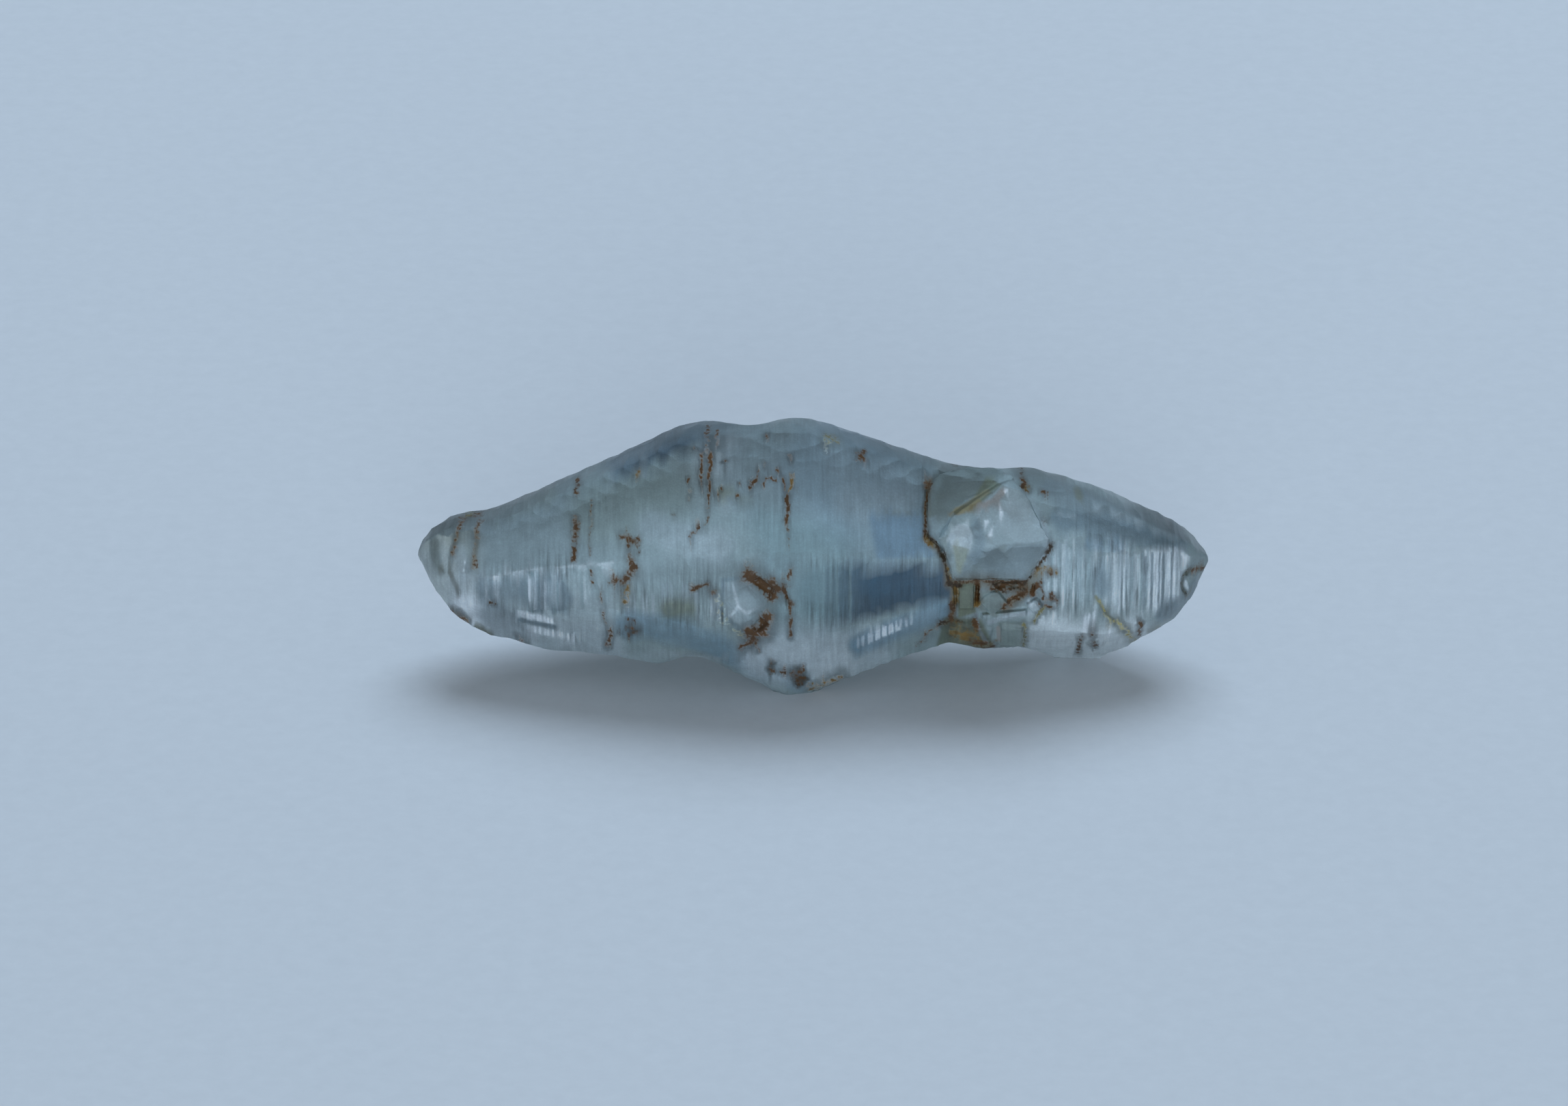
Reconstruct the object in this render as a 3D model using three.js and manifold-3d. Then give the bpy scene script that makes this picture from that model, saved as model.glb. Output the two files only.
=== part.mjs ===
// A rough sapphire crystal: a doubly pointed, hexagonal-looking corundum spindle that narrows to a neck,
// swells again and ends in a second point, with a knob on its first point and a broken block of another
// crystal grown onto its neck. All of it grew together, so it is one solid.
//
// Frame, in millimetres: +X along the c axis from the knob to the clean point, +Z up, and the front, which
// carries the grown-on block, towards -Y. The origin is under the middle, on the surface that it rests on.
import * as THREE from "three";
import { ConvexGeometry } from "three/addons/geometries/ConvexGeometry.js";
import { mergeVertices } from "three/addons/utils/BufferGeometryUtils.js";
import Module from "manifold-3d";

// ---- Driving dimensions, mm ----
const LENGTH = 24; // point to point along the c axis
const AXIS_HEIGHT = 3.6; // c axis above the resting surface, also the reach of the two resting girdles

// Stations along the c axis, from the knob's end.
const KNOB = 0.9; // lower bulge of the knob
const KNOB_TOP = 1.6; // crest of the knob's upper edge
const WAIST = 2.1; // groove behind the knob
const SHOULDER = 6.0;
const SPUR = 7.4; // thin plate that hangs below the front edge
const HUMP = 8.7; // first crest of the belly's top
const NOTCH = 10.2; // nick between the two crests
const BELLY_START = 10.8; // the belly's girdle, where the base lies flat
const BELLY_END = 12.2;
const NECK = 16.1;
const BULGE_START = 19.4; // the second girdle, where the base lies flat again
const BULGE_END = 20.8;
const TAPER = 22.5;
const POINT = 23.6;

// The crystal's faces in order round the c axis. Facing is the angle of the face's normal, from the front
// (0) over the top (90) to the back (180). Reach is how far the face's plane lies from the c axis at each
// station, straight between them. Terraces is how strongly growth ledges break the face's slope, 0 to 1.
const FACES = [
  {
    name: "crown",
    facing: 98,
    terraces: 0.6,
    reach: [
      [0, 0.32], [0.25, 0.68], [KNOB, 1.08], [KNOB_TOP, 1.28], [WAIST, 1.28], [4, 2.2], [SHOULDER, 3.05],
      [8.0, 4.03], [HUMP, 4.2], [9.6, 4.33], [NOTCH, 4.3], [11.0, 4.52], [11.6, 4.5], [BELLY_END, 4.3],
      [NECK, 2.9], [17.2, 2.76], [18.5, 2.86], [BULGE_START, 2.66], [BULGE_END, 2.18], [TAPER, 1.27],
      [23.2, 0.84], [POINT, 0.52], [LENGTH, 0.12],
    ],
  },
  {
    name: "upper_shoulder",
    facing: 68,
    terraces: 0.5,
    reach: [
      [0, 0.3], [0.25, 0.68], [KNOB, 1.12], [KNOB_TOP, 1.38], [WAIST, 1.44], [4, 2.42], [SHOULDER, 3.2],
      [8.0, 4.05], [HUMP, 4.17], [NOTCH, 4.4], [11.0, 4.68], [11.7, 4.65], [BELLY_END, 4.47],
      [NECK, 2.95], [17.2, 3.0], [18.5, 3.17], [BULGE_START, 3.06], [BULGE_END, 2.5], [TAPER, 1.68],
      [23.2, 1.12], [POINT, 0.68], [LENGTH, 0.18],
    ],
  },
  {
    name: "upper_front",
    facing: 40,
    terraces: 0.5,
    reach: [
      [0, 0.28], [0.25, 0.62], [KNOB, 1.05], [KNOB_TOP, 1.34], [WAIST, 1.46], [4, 2.4], [SHOULDER, 3.0],
      [7.5, 3.53], [HUMP, 3.64], [NOTCH, 3.95], [11.0, 4.27], [11.7, 4.27], [NECK, 2.62], [18.4, 3.04],
      [BULGE_START, 3.06], [TAPER, 1.92], [23.3, 1.24], [LENGTH, 0.22],
    ],
  },
  {
    name: "front",
    facing: -5,
    terraces: 0.7,
    reach: [
      [0, 0.2], [0.25, 0.6], [KNOB, 1.28], [WAIST, 1.8], [4, 2.4], [SHOULDER, 2.82], [8.2, 3.2],
      [NOTCH, 3.52], [11.2, 3.8], [11.7, 3.78], [NECK, 2.5], [BULGE_START, 2.46], [BULGE_END, 2.3],
      [TAPER, 1.6], [23.3, 1.06], [LENGTH, 0.18],
    ],
  },
  {
    name: "lower_front",
    facing: -30,
    terraces: 0.7,
    reach: [
      [0, 0.14], [0.25, 0.57], [KNOB, 1.5], [WAIST, 1.95], [4, 2.38], [SHOULDER, 2.68], [8.2, 3.1],
      [NOTCH, 3.44], [11.2, 3.72], [11.7, 3.7], [NECK, 2.35], [18.4, 2.54], [BULGE_START, 2.74],
      [BULGE_END, 2.64], [TAPER, 1.94], [23.3, 1.25], [LENGTH, 0.16],
    ],
  },
  {
    name: "under_front",
    facing: -52,
    terraces: 0.5,
    reach: [
      [0, 0.06], [0.25, 0.52], [KNOB, 1.72], [1.3, 2.15], [WAIST, 2.46], [4, 2.98], [SHOULDER, 3.06],
      [SPUR, 3.3], [8.0, 3.1], [HUMP, 3.08], [9.8, 3.62], [11.2, 4.18], [11.9, 4.08], [NECK, 2.62],
      [17.2, 2.8], [18.3, 2.42], [BULGE_START, 2.58], [BULGE_END, 2.62], [21.6, 2.46], [22.1, 2.16],
      [23.0, 1.85], [23.5, 1.24], [LENGTH, 0.1],
    ],
  },
  {
    name: "base",
    facing: -90,
    terraces: 0,
    reach: [
      [0, 0.1], [0.25, 0.5], [KNOB, 1.3], [1.3, 1.75], [WAIST, 2.15], [4, 2.6], [SHOULDER, 2.62],
      [SPUR, 2.92], [8.0, 2.58], [HUMP, 2.66], [BELLY_START, AXIS_HEIGHT], [BELLY_END, AXIS_HEIGHT],
      [14.3, 2.78], [NECK, 2.25], [17.2, 2.5], [BULGE_START, AXIS_HEIGHT], [BULGE_END, AXIS_HEIGHT],
      [TAPER, 2.3], [23.0, 1.9], [23.5, 1.25], [LENGTH, 0.1],
    ],
  },
  {
    name: "under_back",
    facing: 225,
    terraces: 0.5,
    reach: [
      [0, 0.15], [KNOB, 1.25], [WAIST, 1.9], [SHOULDER, 2.95], [9.4, 3.3], [11.5, 3.95], [NECK, 2.6],
      [BULGE_START, 2.85], [BULGE_END, 2.78], [TAPER, 1.75], [LENGTH, 0.15],
    ],
  },
  {
    name: "back",
    facing: 176,
    terraces: 0.7,
    reach: [
      [0, 0.22], [KNOB, 1.2], [WAIST, 1.7], [SHOULDER, 2.95], [HUMP, 3.35], [11.3, 4.0], [12.0, 3.9],
      [NECK, 2.65], [BULGE_START, 2.75], [TAPER, 1.7], [POINT, 0.85], [LENGTH, 0.2],
    ],
  },
  {
    name: "upper_back",
    facing: 128,
    terraces: 0.6,
    reach: [
      [0, 0.38], [0.25, 0.95], [KNOB, 1.4], [KNOB_TOP, 1.56], [WAIST, 1.52], [4, 2.2], [SHOULDER, 3.06],
      [8.0, 3.86], [HUMP, 3.98], [9.4, 3.8], [NOTCH, 3.5], [11.2, 3.86], [BELLY_END, 3.88], [NECK, 2.74],
      [17.2, 2.5], [18.5, 2.62], [BULGE_END, 2.02], [TAPER, 1.42], [POINT, 0.94], [LENGTH, 0.5],
    ],
  },
];

const LEDGE_SPACING = [0.12, 0.6]; // least and greatest distance between growth ledges
const LEDGE_RUN = 0.012; // how far a ledge's riser leans along the axis
const SHORTEST_EDGE = 0.03; // a face is never narrower than this across the crystal
const GROWTH_SEED = 7;

// Small plates and crystals that stand on a face. At is the station and the distance up the face from the
// foot of its perpendicular to the axis, size is along and across the axis, turn is in degrees on the face.
const PLATES = [
  { name: "left plate under the block", face: "front", at: [16.6, 0.05],
    size: [0.5, 0.9], turn: 0, proud: 0.1 },
  { name: "pointed plate", face: "front", at: [17.42, -0.1],
    size: [0.72, 0.72], turn: 38, proud: 0.15 },
  { name: "pale ledge", face: "front", at: [17.75, -0.55],
    size: [1.5, 0.26], turn: 7, proud: 0.16 },
  { name: "square step", face: "lower_front", at: [18.0, -0.5],
    size: [0.76, 1.1], turn: 0, proud: 0.15 },
  { name: "stained step", face: "lower_front", at: [16.85, -0.6],
    size: [1.2, 0.9], turn: -6, proud: 0.07 },
  { name: "clear rhomb", face: "front", at: [18.65, -0.2],
    size: [0.42, 0.42], turn: 35, proud: 0.26 },
  { name: "pale rhomb", face: "front", at: [10.0, 0.38],
    size: [0.95, 1.0], turn: 40, proud: 0.06 },
  { name: "long plate behind", face: "back", at: [8.4, 0.4],
    size: [2.6, 0.7], turn: 4, proud: 0.08 },
  { name: "short plate behind", face: "upper_back", at: [13.6, 0.3],
    size: [1.3, 0.9], turn: -5, proud: 0.1 },
  { name: "rhomb behind", face: "back", at: [17.3, -0.5],
    size: [0.8, 0.8], turn: 42, proud: 0.16 },
  { name: "low plate behind", face: "under_back", at: [14.2, 0.2],
    size: [1.6, 0.8], turn: 3, proud: 0.09 },
];

// Pits and grooves that taper down into a face.
const PITS = [
  { name: "band under the block", face: "front", at: [17.82, 0.4],
    size: [1.05, 0.24], turn: 2, deep: 0.16 },
  { name: "slanting groove", face: "front", at: [18.08, -0.08],
    size: [0.62, 0.16], turn: 42, deep: 0.14 },
  { name: "seam beside the block", face: "front", at: [16.27, -0.1],
    size: [0.1, 1.3], turn: 2, deep: 0.14 },
  { name: "seam between plates", face: "front", at: [16.92, 0.08],
    size: [0.1, 0.85], turn: 0, deep: 0.22 },
  { name: "nick above the rhomb", face: "front", at: [18.6, 0.3],
    size: [0.1, 0.36], turn: -12, deep: 0.12 },
  { name: "pit above the pale rhomb", face: "front", at: [10.5, 1.0],
    size: [0.85, 0.42], turn: -38, deep: 0.2 },
  { name: "pit below the pale rhomb", face: "front", at: [10.36, -0.34],
    size: [0.62, 0.34], turn: 52, deep: 0.2 },
  { name: "crack at the belly", face: "front", at: [11.2, 0.75],
    size: [0.09, 1.0], turn: 6, deep: 0.12 },
  { name: "pit on the shoulder", face: "front", at: [6.35, 1.0],
    size: [0.22, 0.6], turn: -28, deep: 0.12 },
  { name: "pit behind the belly", face: "back", at: [12.6, 1.0],
    size: [0.7, 0.4], turn: 30, deep: 0.18 },
  { name: "crack behind", face: "back", at: [6.6, -0.2],
    size: [0.1, 1.5], turn: -3, deep: 0.12 },
  { name: "groove behind the neck", face: "upper_back", at: [16.0, 0.2],
    size: [0.14, 1.2], turn: 4, deep: 0.14 },
];

// Shell-shaped breaks: the smooth hollow left where a flake came off.
const CHIPS = [
  { name: "nick at the point", face: "front", at: [23.27, -0.3],
    size: [0.4, 0.8], turn: 8, deep: 0.13 },
  { name: "flake off the knob", face: "upper_front", at: [1.62, 0.15],
    size: [0.62, 1.2], turn: -8, deep: 0.06 },
  { name: "flake below the knob", face: "front", at: [0.86, -0.35],
    size: [0.6, 0.8], turn: 12, deep: 0.05 },
  { name: "flake off the taper", face: "under_front", at: [19.9, 1.5],
    size: [1.0, 0.9], turn: 0, deep: 0.1 },
  { name: "flake off the back point", face: "back", at: [22.7, 0.2],
    size: [1.1, 1.0], turn: 15, deep: 0.08 },
  { name: "flake off the back belly", face: "upper_back", at: [10.4, 1.4],
    size: [1.2, 0.8], turn: 10, deep: 0.1 },
];
const CHIP_ROUNDNESS = 0.45; // radius of a chip's hollow against its size along the axis

const wasm = await Module();
wasm.setup();

// ---- Small tools ----

// Repeatable random numbers from 0 to 1.
function randomFrom(seed) {
  let state = seed;
  return () => {
    state = (state + 0x6d2b79f5) | 0;
    let t = Math.imul(state ^ (state >>> 15), 1 | state);
    t = (t + Math.imul(t ^ (t >>> 7), 61 | t)) ^ t;
    return ((t ^ (t >>> 14)) >>> 0) / 4294967296;
  };
}

// A closed three.js geometry as a solid that can be joined and cut.
function solidOf(geometry) {
  geometry.deleteAttribute("normal");
  geometry.deleteAttribute("uv");
  const merged = mergeVertices(geometry, 1e-4);
  return new wasm.Manifold(
    new wasm.Mesh({
      numProp: 3,
      vertProperties: merged.attributes.position.array,
      triVerts: new Uint32Array(merged.index.array),
    }),
  );
}

function geometryOf(solid) {
  const mesh = solid.getMesh();
  const geometry = new THREE.BufferGeometry();
  geometry.setAttribute("position", new THREE.BufferAttribute(mesh.vertProperties, 3));
  geometry.setIndex(new THREE.BufferAttribute(mesh.triVerts, 1));
  return geometry;
}

// A point from its station along the c axis and its distances to the front of the axis and above it.
function place(station, front, up) {
  return new THREE.Vector3(station - LENGTH / 2, -front, AXIS_HEIGHT + up);
}

// The normal of a face that faces the given angle, as [front, up].
function normalOf(facing) {
  const angle = THREE.MathUtils.degToRad(facing);
  return [Math.cos(angle), Math.sin(angle)];
}

function reachAt(points, station) {
  const next = points.findIndex(([at]) => at >= station);
  if (next <= 0) return points[0][1];
  const [[a, reachA], [b, reachB]] = [points[next - 1], points[next]];
  return reachA + ((reachB - reachA) * (station - a)) / (b - a);
}

// ---- The spindle ----

// Growth ledges: the stations where the slope is broken, each zone between two of them with its own
// strength on every face.
function growthZones() {
  const random = randomFrom(GROWTH_SEED);
  const [least, greatest] = LEDGE_SPACING;
  const zones = [];
  let start = 0;
  while (start < LENGTH) {
    const length = least + (greatest - least) * random() ** 2;
    const end = start + length > LENGTH - least ? LENGTH : start + length;
    const strengths = FACES.map((face) => face.terraces * random() ** 2);
    zones.push({ start, end, strengths });
    start = end;
  }
  return zones;
}

// The distance of every face from the axis at a station inside a growth zone, where the slope is flatter
// than the face's own, so that a ledge is left at the zone's ends.
function reachesIn(zone, station) {
  return FACES.map((face, i) => {
    const own = reachAt(face.reach, station);
    const middle = reachAt(face.reach, (zone.start + zone.end) / 2);
    return own - zone.strengths[i] * (own - middle);
  });
}

// Where the planes of two faces meet in the cross-section, as [front, up].
function corner(faceA, reachA, faceB, reachB) {
  const [a, b] = normalOf(faceA.facing);
  const [c, d] = normalOf(faceB.facing);
  const across = a * d - b * c;
  return [(reachA * d - reachB * b) / across, (a * reachB - c * reachA) / across];
}

// How fast a face widens towards a neighbour as it is drawn in below the edge where its neighbours meet.
function widening(faceA, faceB) {
  return Math.abs(1 / Math.tan(THREE.MathUtils.degToRad(faceB.facing - faceA.facing)));
}

// Draws in each face that its two neighbours would cut off, until it keeps the shortest edge.
function keepEveryFace(reaches) {
  const kept = [...reaches];
  const count = FACES.length;
  const passes = 3; // drawing one face in can cut off the next
  for (let pass = 0; pass < passes; pass++) {
    FACES.forEach((face, i) => {
      const before = (i + count - 1) % count;
      const after = (i + 1) % count;
      const [front, up] = corner(FACES[before], kept[before], FACES[after], kept[after]);
      const [a, b] = normalOf(face.facing);
      const spread = widening(FACES[before], face) + widening(face, FACES[after]);
      kept[i] = Math.min(kept[i], a * front + b * up - SHORTEST_EDGE / spread);
    });
  }
  return kept;
}

// One ring of corners round the crystal.
function ring(station, reaches) {
  const kept = keepEveryFace(reaches);
  return FACES.map((face, i) => {
    const j = (i + 1) % FACES.length;
    return place(station, ...corner(face, kept[i], FACES[j], kept[j]));
  });
}

function spindle() {
  const stations = [...new Set(FACES.flatMap((face) => face.reach.map(([at]) => at)))];
  stations.sort((a, b) => a - b);
  const rings = [];
  for (const zone of growthZones()) {
    const first = zone.start + (zone.start > 0 ? LEDGE_RUN / 2 : 0);
    const last = zone.end - (zone.end < LENGTH ? LEDGE_RUN / 2 : 0);
    const inside = stations.filter((at) => at > first + LEDGE_RUN && at < last - LEDGE_RUN);
    for (const at of [first, ...inside, last]) rings.push(ring(at, reachesIn(zone, at)));
  }
  const count = FACES.length;
  const positions = rings.flat().flatMap((corner) => corner.toArray());
  const triangles = [];
  for (let i = 0; i + 1 < rings.length; i++) {
    for (let j = 0; j < count; j++) {
      const a = i * count + j;
      const b = i * count + ((j + 1) % count);
      triangles.push(a, b, a + count, b, b + count, a + count);
    }
  }
  const lastRing = (rings.length - 1) * count;
  for (let j = 1; j + 1 < count; j++) {
    triangles.push(0, j + 1, j);
    triangles.push(lastRing, lastRing + j, lastRing + j + 1);
  }
  const geometry = new THREE.BufferGeometry();
  geometry.setAttribute("position", new THREE.Float32BufferAttribute(positions, 3));
  geometry.setIndex(triangles);
  return solidOf(geometry);
}

// ---- What grew on it and broke out of it ----

// The frame of a spot on a face: X along the crystal, Y up the face and Z out of it.
function frameOn(faceName, [station, along]) {
  const face = FACES.find(({ name }) => name === faceName);
  const [front, up] = normalOf(face.facing);
  const out = new THREE.Vector3(0, -front, up);
  const upFace = new THREE.Vector3(0, up, front);
  const step = 0.1;
  const rise = reachAt(face.reach, station + step) - reachAt(face.reach, station - step);
  const lengthwise = new THREE.Vector3(1, 0, 0).addScaledVector(out, rise / (2 * step)).normalize();
  const spot = place(station, 0, 0).addScaledVector(out, reachAt(face.reach, station));
  spot.addScaledVector(upFace, along);
  const square = new THREE.Vector3().crossVectors(lengthwise, upFace).normalize();
  return new THREE.Matrix4().makeBasis(lengthwise, upFace, square).setPosition(spot);
}

function turned(geometry, { face, at, turn }) {
  geometry.rotateZ(THREE.MathUtils.degToRad(turn));
  return solidOf(geometry.applyMatrix4(frameOn(face, at)));
}

// A block with sloping sides between two levels of a face, each given as [level, share of the full size].
function frustum(feature, ...levels) {
  const [width, height] = feature.size.map((size) => size / 2);
  const corners = levels.flatMap(([level, share]) =>
    [[-1, -1], [1, -1], [1, 1], [-1, 1]].map(
      ([x, y]) => new THREE.Vector3(x * width * share, y * height * share, level),
    ),
  );
  return turned(new ConvexGeometry(corners), feature);
}

function plate(feature) {
  return frustum(feature, [-0.35, 1.1], [feature.proud, 0.86]);
}

function pit(feature) {
  return frustum(feature, [feature.deep, 1.3], [-feature.deep, 0.5]);
}

function chip(feature) {
  const [width, height] = feature.size;
  const radius = width * CHIP_ROUNDNESS;
  const hollow = new THREE.IcosahedronGeometry(1, 2);
  hollow.scale(width / 2, height / 2, radius);
  hollow.translate(0, 0, radius * 0.75 - feature.deep);
  return turned(hollow, feature);
}

// A solid with flat faces through the given corners, each [station, front, up].
function flatFaced(corners) {
  return solidOf(new ConvexGeometry(corners.map((corner) => place(...corner))));
}

// The broken block of a second crystal that grew onto the neck: a low slab at its upper left, a thicker one
// that steps up from it, and a spoon-shaped break at the left of the thick one.
function grownBlock() {
  const root = [[16.4, 0.4, 2.2], [17.9, 0.4, 2.2], [16.6, 1.6, 0.4], [18.2, 1.6, 0.4]];
  const lowSlab = [
    [15.72, 1.35, 3.42], [16.6, 1.15, 3.55], [17.6, 1.2, 3.55], [18.05, 1.65, 3.42], [15.36, 1.9, 3.05],
    [15.3, 2.5, 1.8], [17.7, 2.0, 3.3], [16.2, 2.45, 2.5], [15.75, 2.8, 1.6],
  ];
  const thickSlab = [
    [17.64, 2.25, 3.5], [17.3, 2.55, 3.24], [16.15, 3.1, 2.8], [15.68, 2.95, 1.95], [18.0, 1.8, 3.4],
    [18.45, 2.26, 3.13], [19.13, 2.9, 1.95], [19.05, 2.88, 1.6], [18.42, 2.8, 0.5], [16.2, 2.85, 0.52],
    [16.0, 2.95, 1.05], [16.75, 3.28, 2.5], [17.5, 3.46, 1.91], [18.5, 3.18, 1.85],
  ];
  const spoon = new THREE.IcosahedronGeometry(1, 2);
  spoon.scale(0.62, 0.8, 1.15);
  spoon.rotateY(THREE.MathUtils.degToRad(16));
  spoon.translate(...place(16.22, 3.76, 1.75).toArray());
  return flatFaced([...root, ...lowSlab])
    .add(flatFaced([...root, ...thickSlab]))
    .subtract(solidOf(spoon));
}

let crystal = spindle().add(grownBlock());
for (const feature of PLATES) crystal = crystal.add(plate(feature));
for (const feature of PITS) crystal = crystal.subtract(pit(feature));
for (const feature of CHIPS) crystal = crystal.subtract(chip(feature));

const sapphire = new THREE.Mesh(
  geometryOf(crystal),
  new THREE.MeshStandardMaterial({ color: 0x8fa9b8, roughness: 0.3, metalness: 0 }),
);
sapphire.name = "sapphire_crystal";

// The faces aren't equally far out in front and behind, so the whole is centred over the origin here.
sapphire.geometry.computeBoundingBox();
const { min, max } = sapphire.geometry.boundingBox;
sapphire.position.set(-(min.x + max.x) / 2, -(min.y + max.y) / 2, -min.z);

const part = new THREE.Group();
part.name = "sapphire";
part.add(sapphire);

export default part;
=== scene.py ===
"""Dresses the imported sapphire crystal: its fine growth lines, the stains in its cracks, its colour zones,
the floor, the light and the camera. Lengths are millimetres in the part's own frame, but for the floor's and
the lights', which are metres. Places on the crystal are given as (station, height): the distance along its
axis from the knobbed point, and the height over the axis as seen from the side that the place is on, looking
25 degrees down."""

import math

import bmesh
import bpy
import numpy as np
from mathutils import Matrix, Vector


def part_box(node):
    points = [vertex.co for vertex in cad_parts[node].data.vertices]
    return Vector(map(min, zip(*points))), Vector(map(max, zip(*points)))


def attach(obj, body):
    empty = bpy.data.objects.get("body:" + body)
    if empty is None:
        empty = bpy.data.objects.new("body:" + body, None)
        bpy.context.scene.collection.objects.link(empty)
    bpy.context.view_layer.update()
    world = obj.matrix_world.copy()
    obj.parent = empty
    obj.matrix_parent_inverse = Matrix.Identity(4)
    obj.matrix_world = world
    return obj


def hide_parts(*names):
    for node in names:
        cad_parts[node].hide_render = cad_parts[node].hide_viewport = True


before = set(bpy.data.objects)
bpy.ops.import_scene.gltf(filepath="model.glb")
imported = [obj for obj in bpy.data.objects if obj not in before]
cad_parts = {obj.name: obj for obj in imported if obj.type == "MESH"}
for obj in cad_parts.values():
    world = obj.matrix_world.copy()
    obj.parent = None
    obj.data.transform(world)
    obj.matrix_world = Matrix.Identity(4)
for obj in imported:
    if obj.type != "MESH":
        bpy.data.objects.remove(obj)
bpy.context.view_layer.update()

MM = 0.001
NODE = "sapphire_crystal"
low, high = (np.array(corner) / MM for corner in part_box(NODE))  # the crystal's box
AXIS_HEIGHT = 3.6  # of the c axis above the floor
AXIS_DEPTH = -0.065  # of the c axis: the crystal reaches a little further back from it than forwards
random = np.random.default_rng(7)

# ---- Camera ----
VIEW_ELEVATION = math.radians(25)
VIEW_DISTANCE = 240.0
FRAME_WIDTH = 47.54  # what the frame spans at the crystal
VIEW_CENTRE = (-0.88, 0.11)  # along the axis and above it, as the camera sees it
SENSOR = 36.0
CLIP_START = 10.0
SINE, COSINE = math.sin(VIEW_ELEVATION), math.cos(VIEW_ELEVATION)
TO_CAMERA = (0, -COSINE, SINE)
TO_BACK_VIEW = (0, COSINE, SINE)  # towards a viewer behind the crystal, who looks down as steeply


def add_camera():
    data = bpy.data.cameras.new("camera")
    data.sensor_width = SENSOR
    data.lens = SENSOR * VIEW_DISTANCE / FRAME_WIDTH
    data.clip_start = CLIP_START * MM
    camera = bpy.data.objects.new("camera", data)
    bpy.context.scene.collection.objects.link(camera)
    along, above = VIEW_CENTRE
    target = Vector((along, AXIS_DEPTH + above * SINE, AXIS_HEIGHT + above * COSINE))
    camera.location = (target + Vector(TO_CAMERA) * VIEW_DISTANCE) * MM
    camera.rotation_euler = (math.pi / 2 - VIEW_ELEVATION, 0, 0)
    bpy.context.scene.camera = camera


# ---- Fine surface ----
LINE_SPACING = (0.035, 0.085)  # between a growth line's crest and its foot
FIRST_LINE, LAST_LINE = 0.02, 0.05  # about how far from the crystal's two ends they start and stop
LINE_DEPTH = 0.011  # of the deepest growth lines
BROKEN_RELIEF = 0.012  # on the block, which has no growth lines
UNEVENNESS = 0.006  # everywhere
CELL_ACROSS = 0.26
FINEST_CELL = 0.11  # where a stain or a small marking is painted
REFINEMENTS = 2  # times that the cells there are halved
SAME_PLANE = math.radians(0.5)  # the solid's triangles that meet at less than this are one face
ON_PLANE = 1e-5  # a corner this close to a cut is on it
SAME_CORNER = 1e-4  # the solid's corners closer than this are one
SLIVER = 0.003  # and the cells' corners closer than this
SMOOTHING = 90, 0.12, (1, 2)  # passes, reach and directions: evens out the ledges' outlines
ROUNDING = 24, 0.4, (0, 1, 2)  # rounds the upper ridges and the ends
ROUNDED_UPWARDS = 0.2, 1.5  # that starts this far above the axis, and is whole this much higher
ROUNDED_LEAST = 0.1  # the share of it that is left below that
ROUNDED_END, ROUNDED_END_MOST = 1.5, 0.6  # the ends' part in it: up to this far from them, at most this share
EDGE_WEAR = 4, 0.15, (0, 1, 2)  # on every edge, last
WEAK_PULL = 0.05  # neighbours that would pull less than this are left out
FLAT_KEPT = 0.03  # nothing below this height moves, so the crystal rests as its solid does
WAVES = 5  # in a ripple


def slice_at(solid, axis, level):
    """Cuts the faces along a plane, so that its line lies along edges."""
    normal = [float(k == axis) for k in range(3)]
    place = [level * part for part in normal]
    geometry = solid.verts[:] + solid.edges[:] + solid.faces[:]
    bmesh.ops.bisect_plane(solid, geom=geometry, dist=ON_PLANE, plane_co=place, plane_no=normal)


def growth_lines():
    """Where the growth lines' crests and feet are along the crystal, and how deep two versions of them go."""
    spacing = np.random.default_rng(11)
    levels = [low[0] + FIRST_LINE]
    while levels[-1] < high[0] - LAST_LINE:
        levels.append(levels[-1] + spacing.uniform(*LINE_SPACING))
    levels = np.array(levels)
    foot = np.arange(len(levels)) % 2
    depths = [foot * spacing.uniform(0.1, 1, len(levels)) ** 1.5 * LINE_DEPTH for _ in range(2)]
    return levels, depths


def sliced_surface(levels):
    """The solid's surface as points and triangles, cut into cells that are narrow along the crystal."""
    solid = bmesh.new()
    solid.from_mesh(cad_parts[NODE].data)
    bmesh.ops.scale(solid, vec=[1 / MM] * 3, verts=solid.verts)
    bmesh.ops.remove_doubles(solid, verts=solid.verts, dist=SAME_CORNER)
    bmesh.ops.join_triangles(
        solid, faces=solid.faces, angle_face_threshold=SAME_PLANE, angle_shape_threshold=math.pi
    )
    for level in levels:
        slice_at(solid, 0, level)
    for axis in (1, 2):
        for level in np.arange(low[axis] + CELL_ACROSS / 2, high[axis], CELL_ACROSS):
            slice_at(solid, axis, level)
    bmesh.ops.remove_doubles(solid, verts=solid.verts, dist=SLIVER)
    bmesh.ops.triangulate(solid, faces=solid.faces)
    mesh = bpy.data.meshes.new("cut")
    solid.to_mesh(mesh)
    solid.free()
    points = np.empty(len(mesh.vertices) * 3)
    mesh.vertices.foreach_get("co", points)
    triangles = np.empty(len(mesh.polygons) * 3, int)
    mesh.polygons.foreach_get("vertices", triangles)
    bpy.data.meshes.remove(mesh)
    return points.reshape(-1, 3), triangles.reshape(-1, 3)


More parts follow.
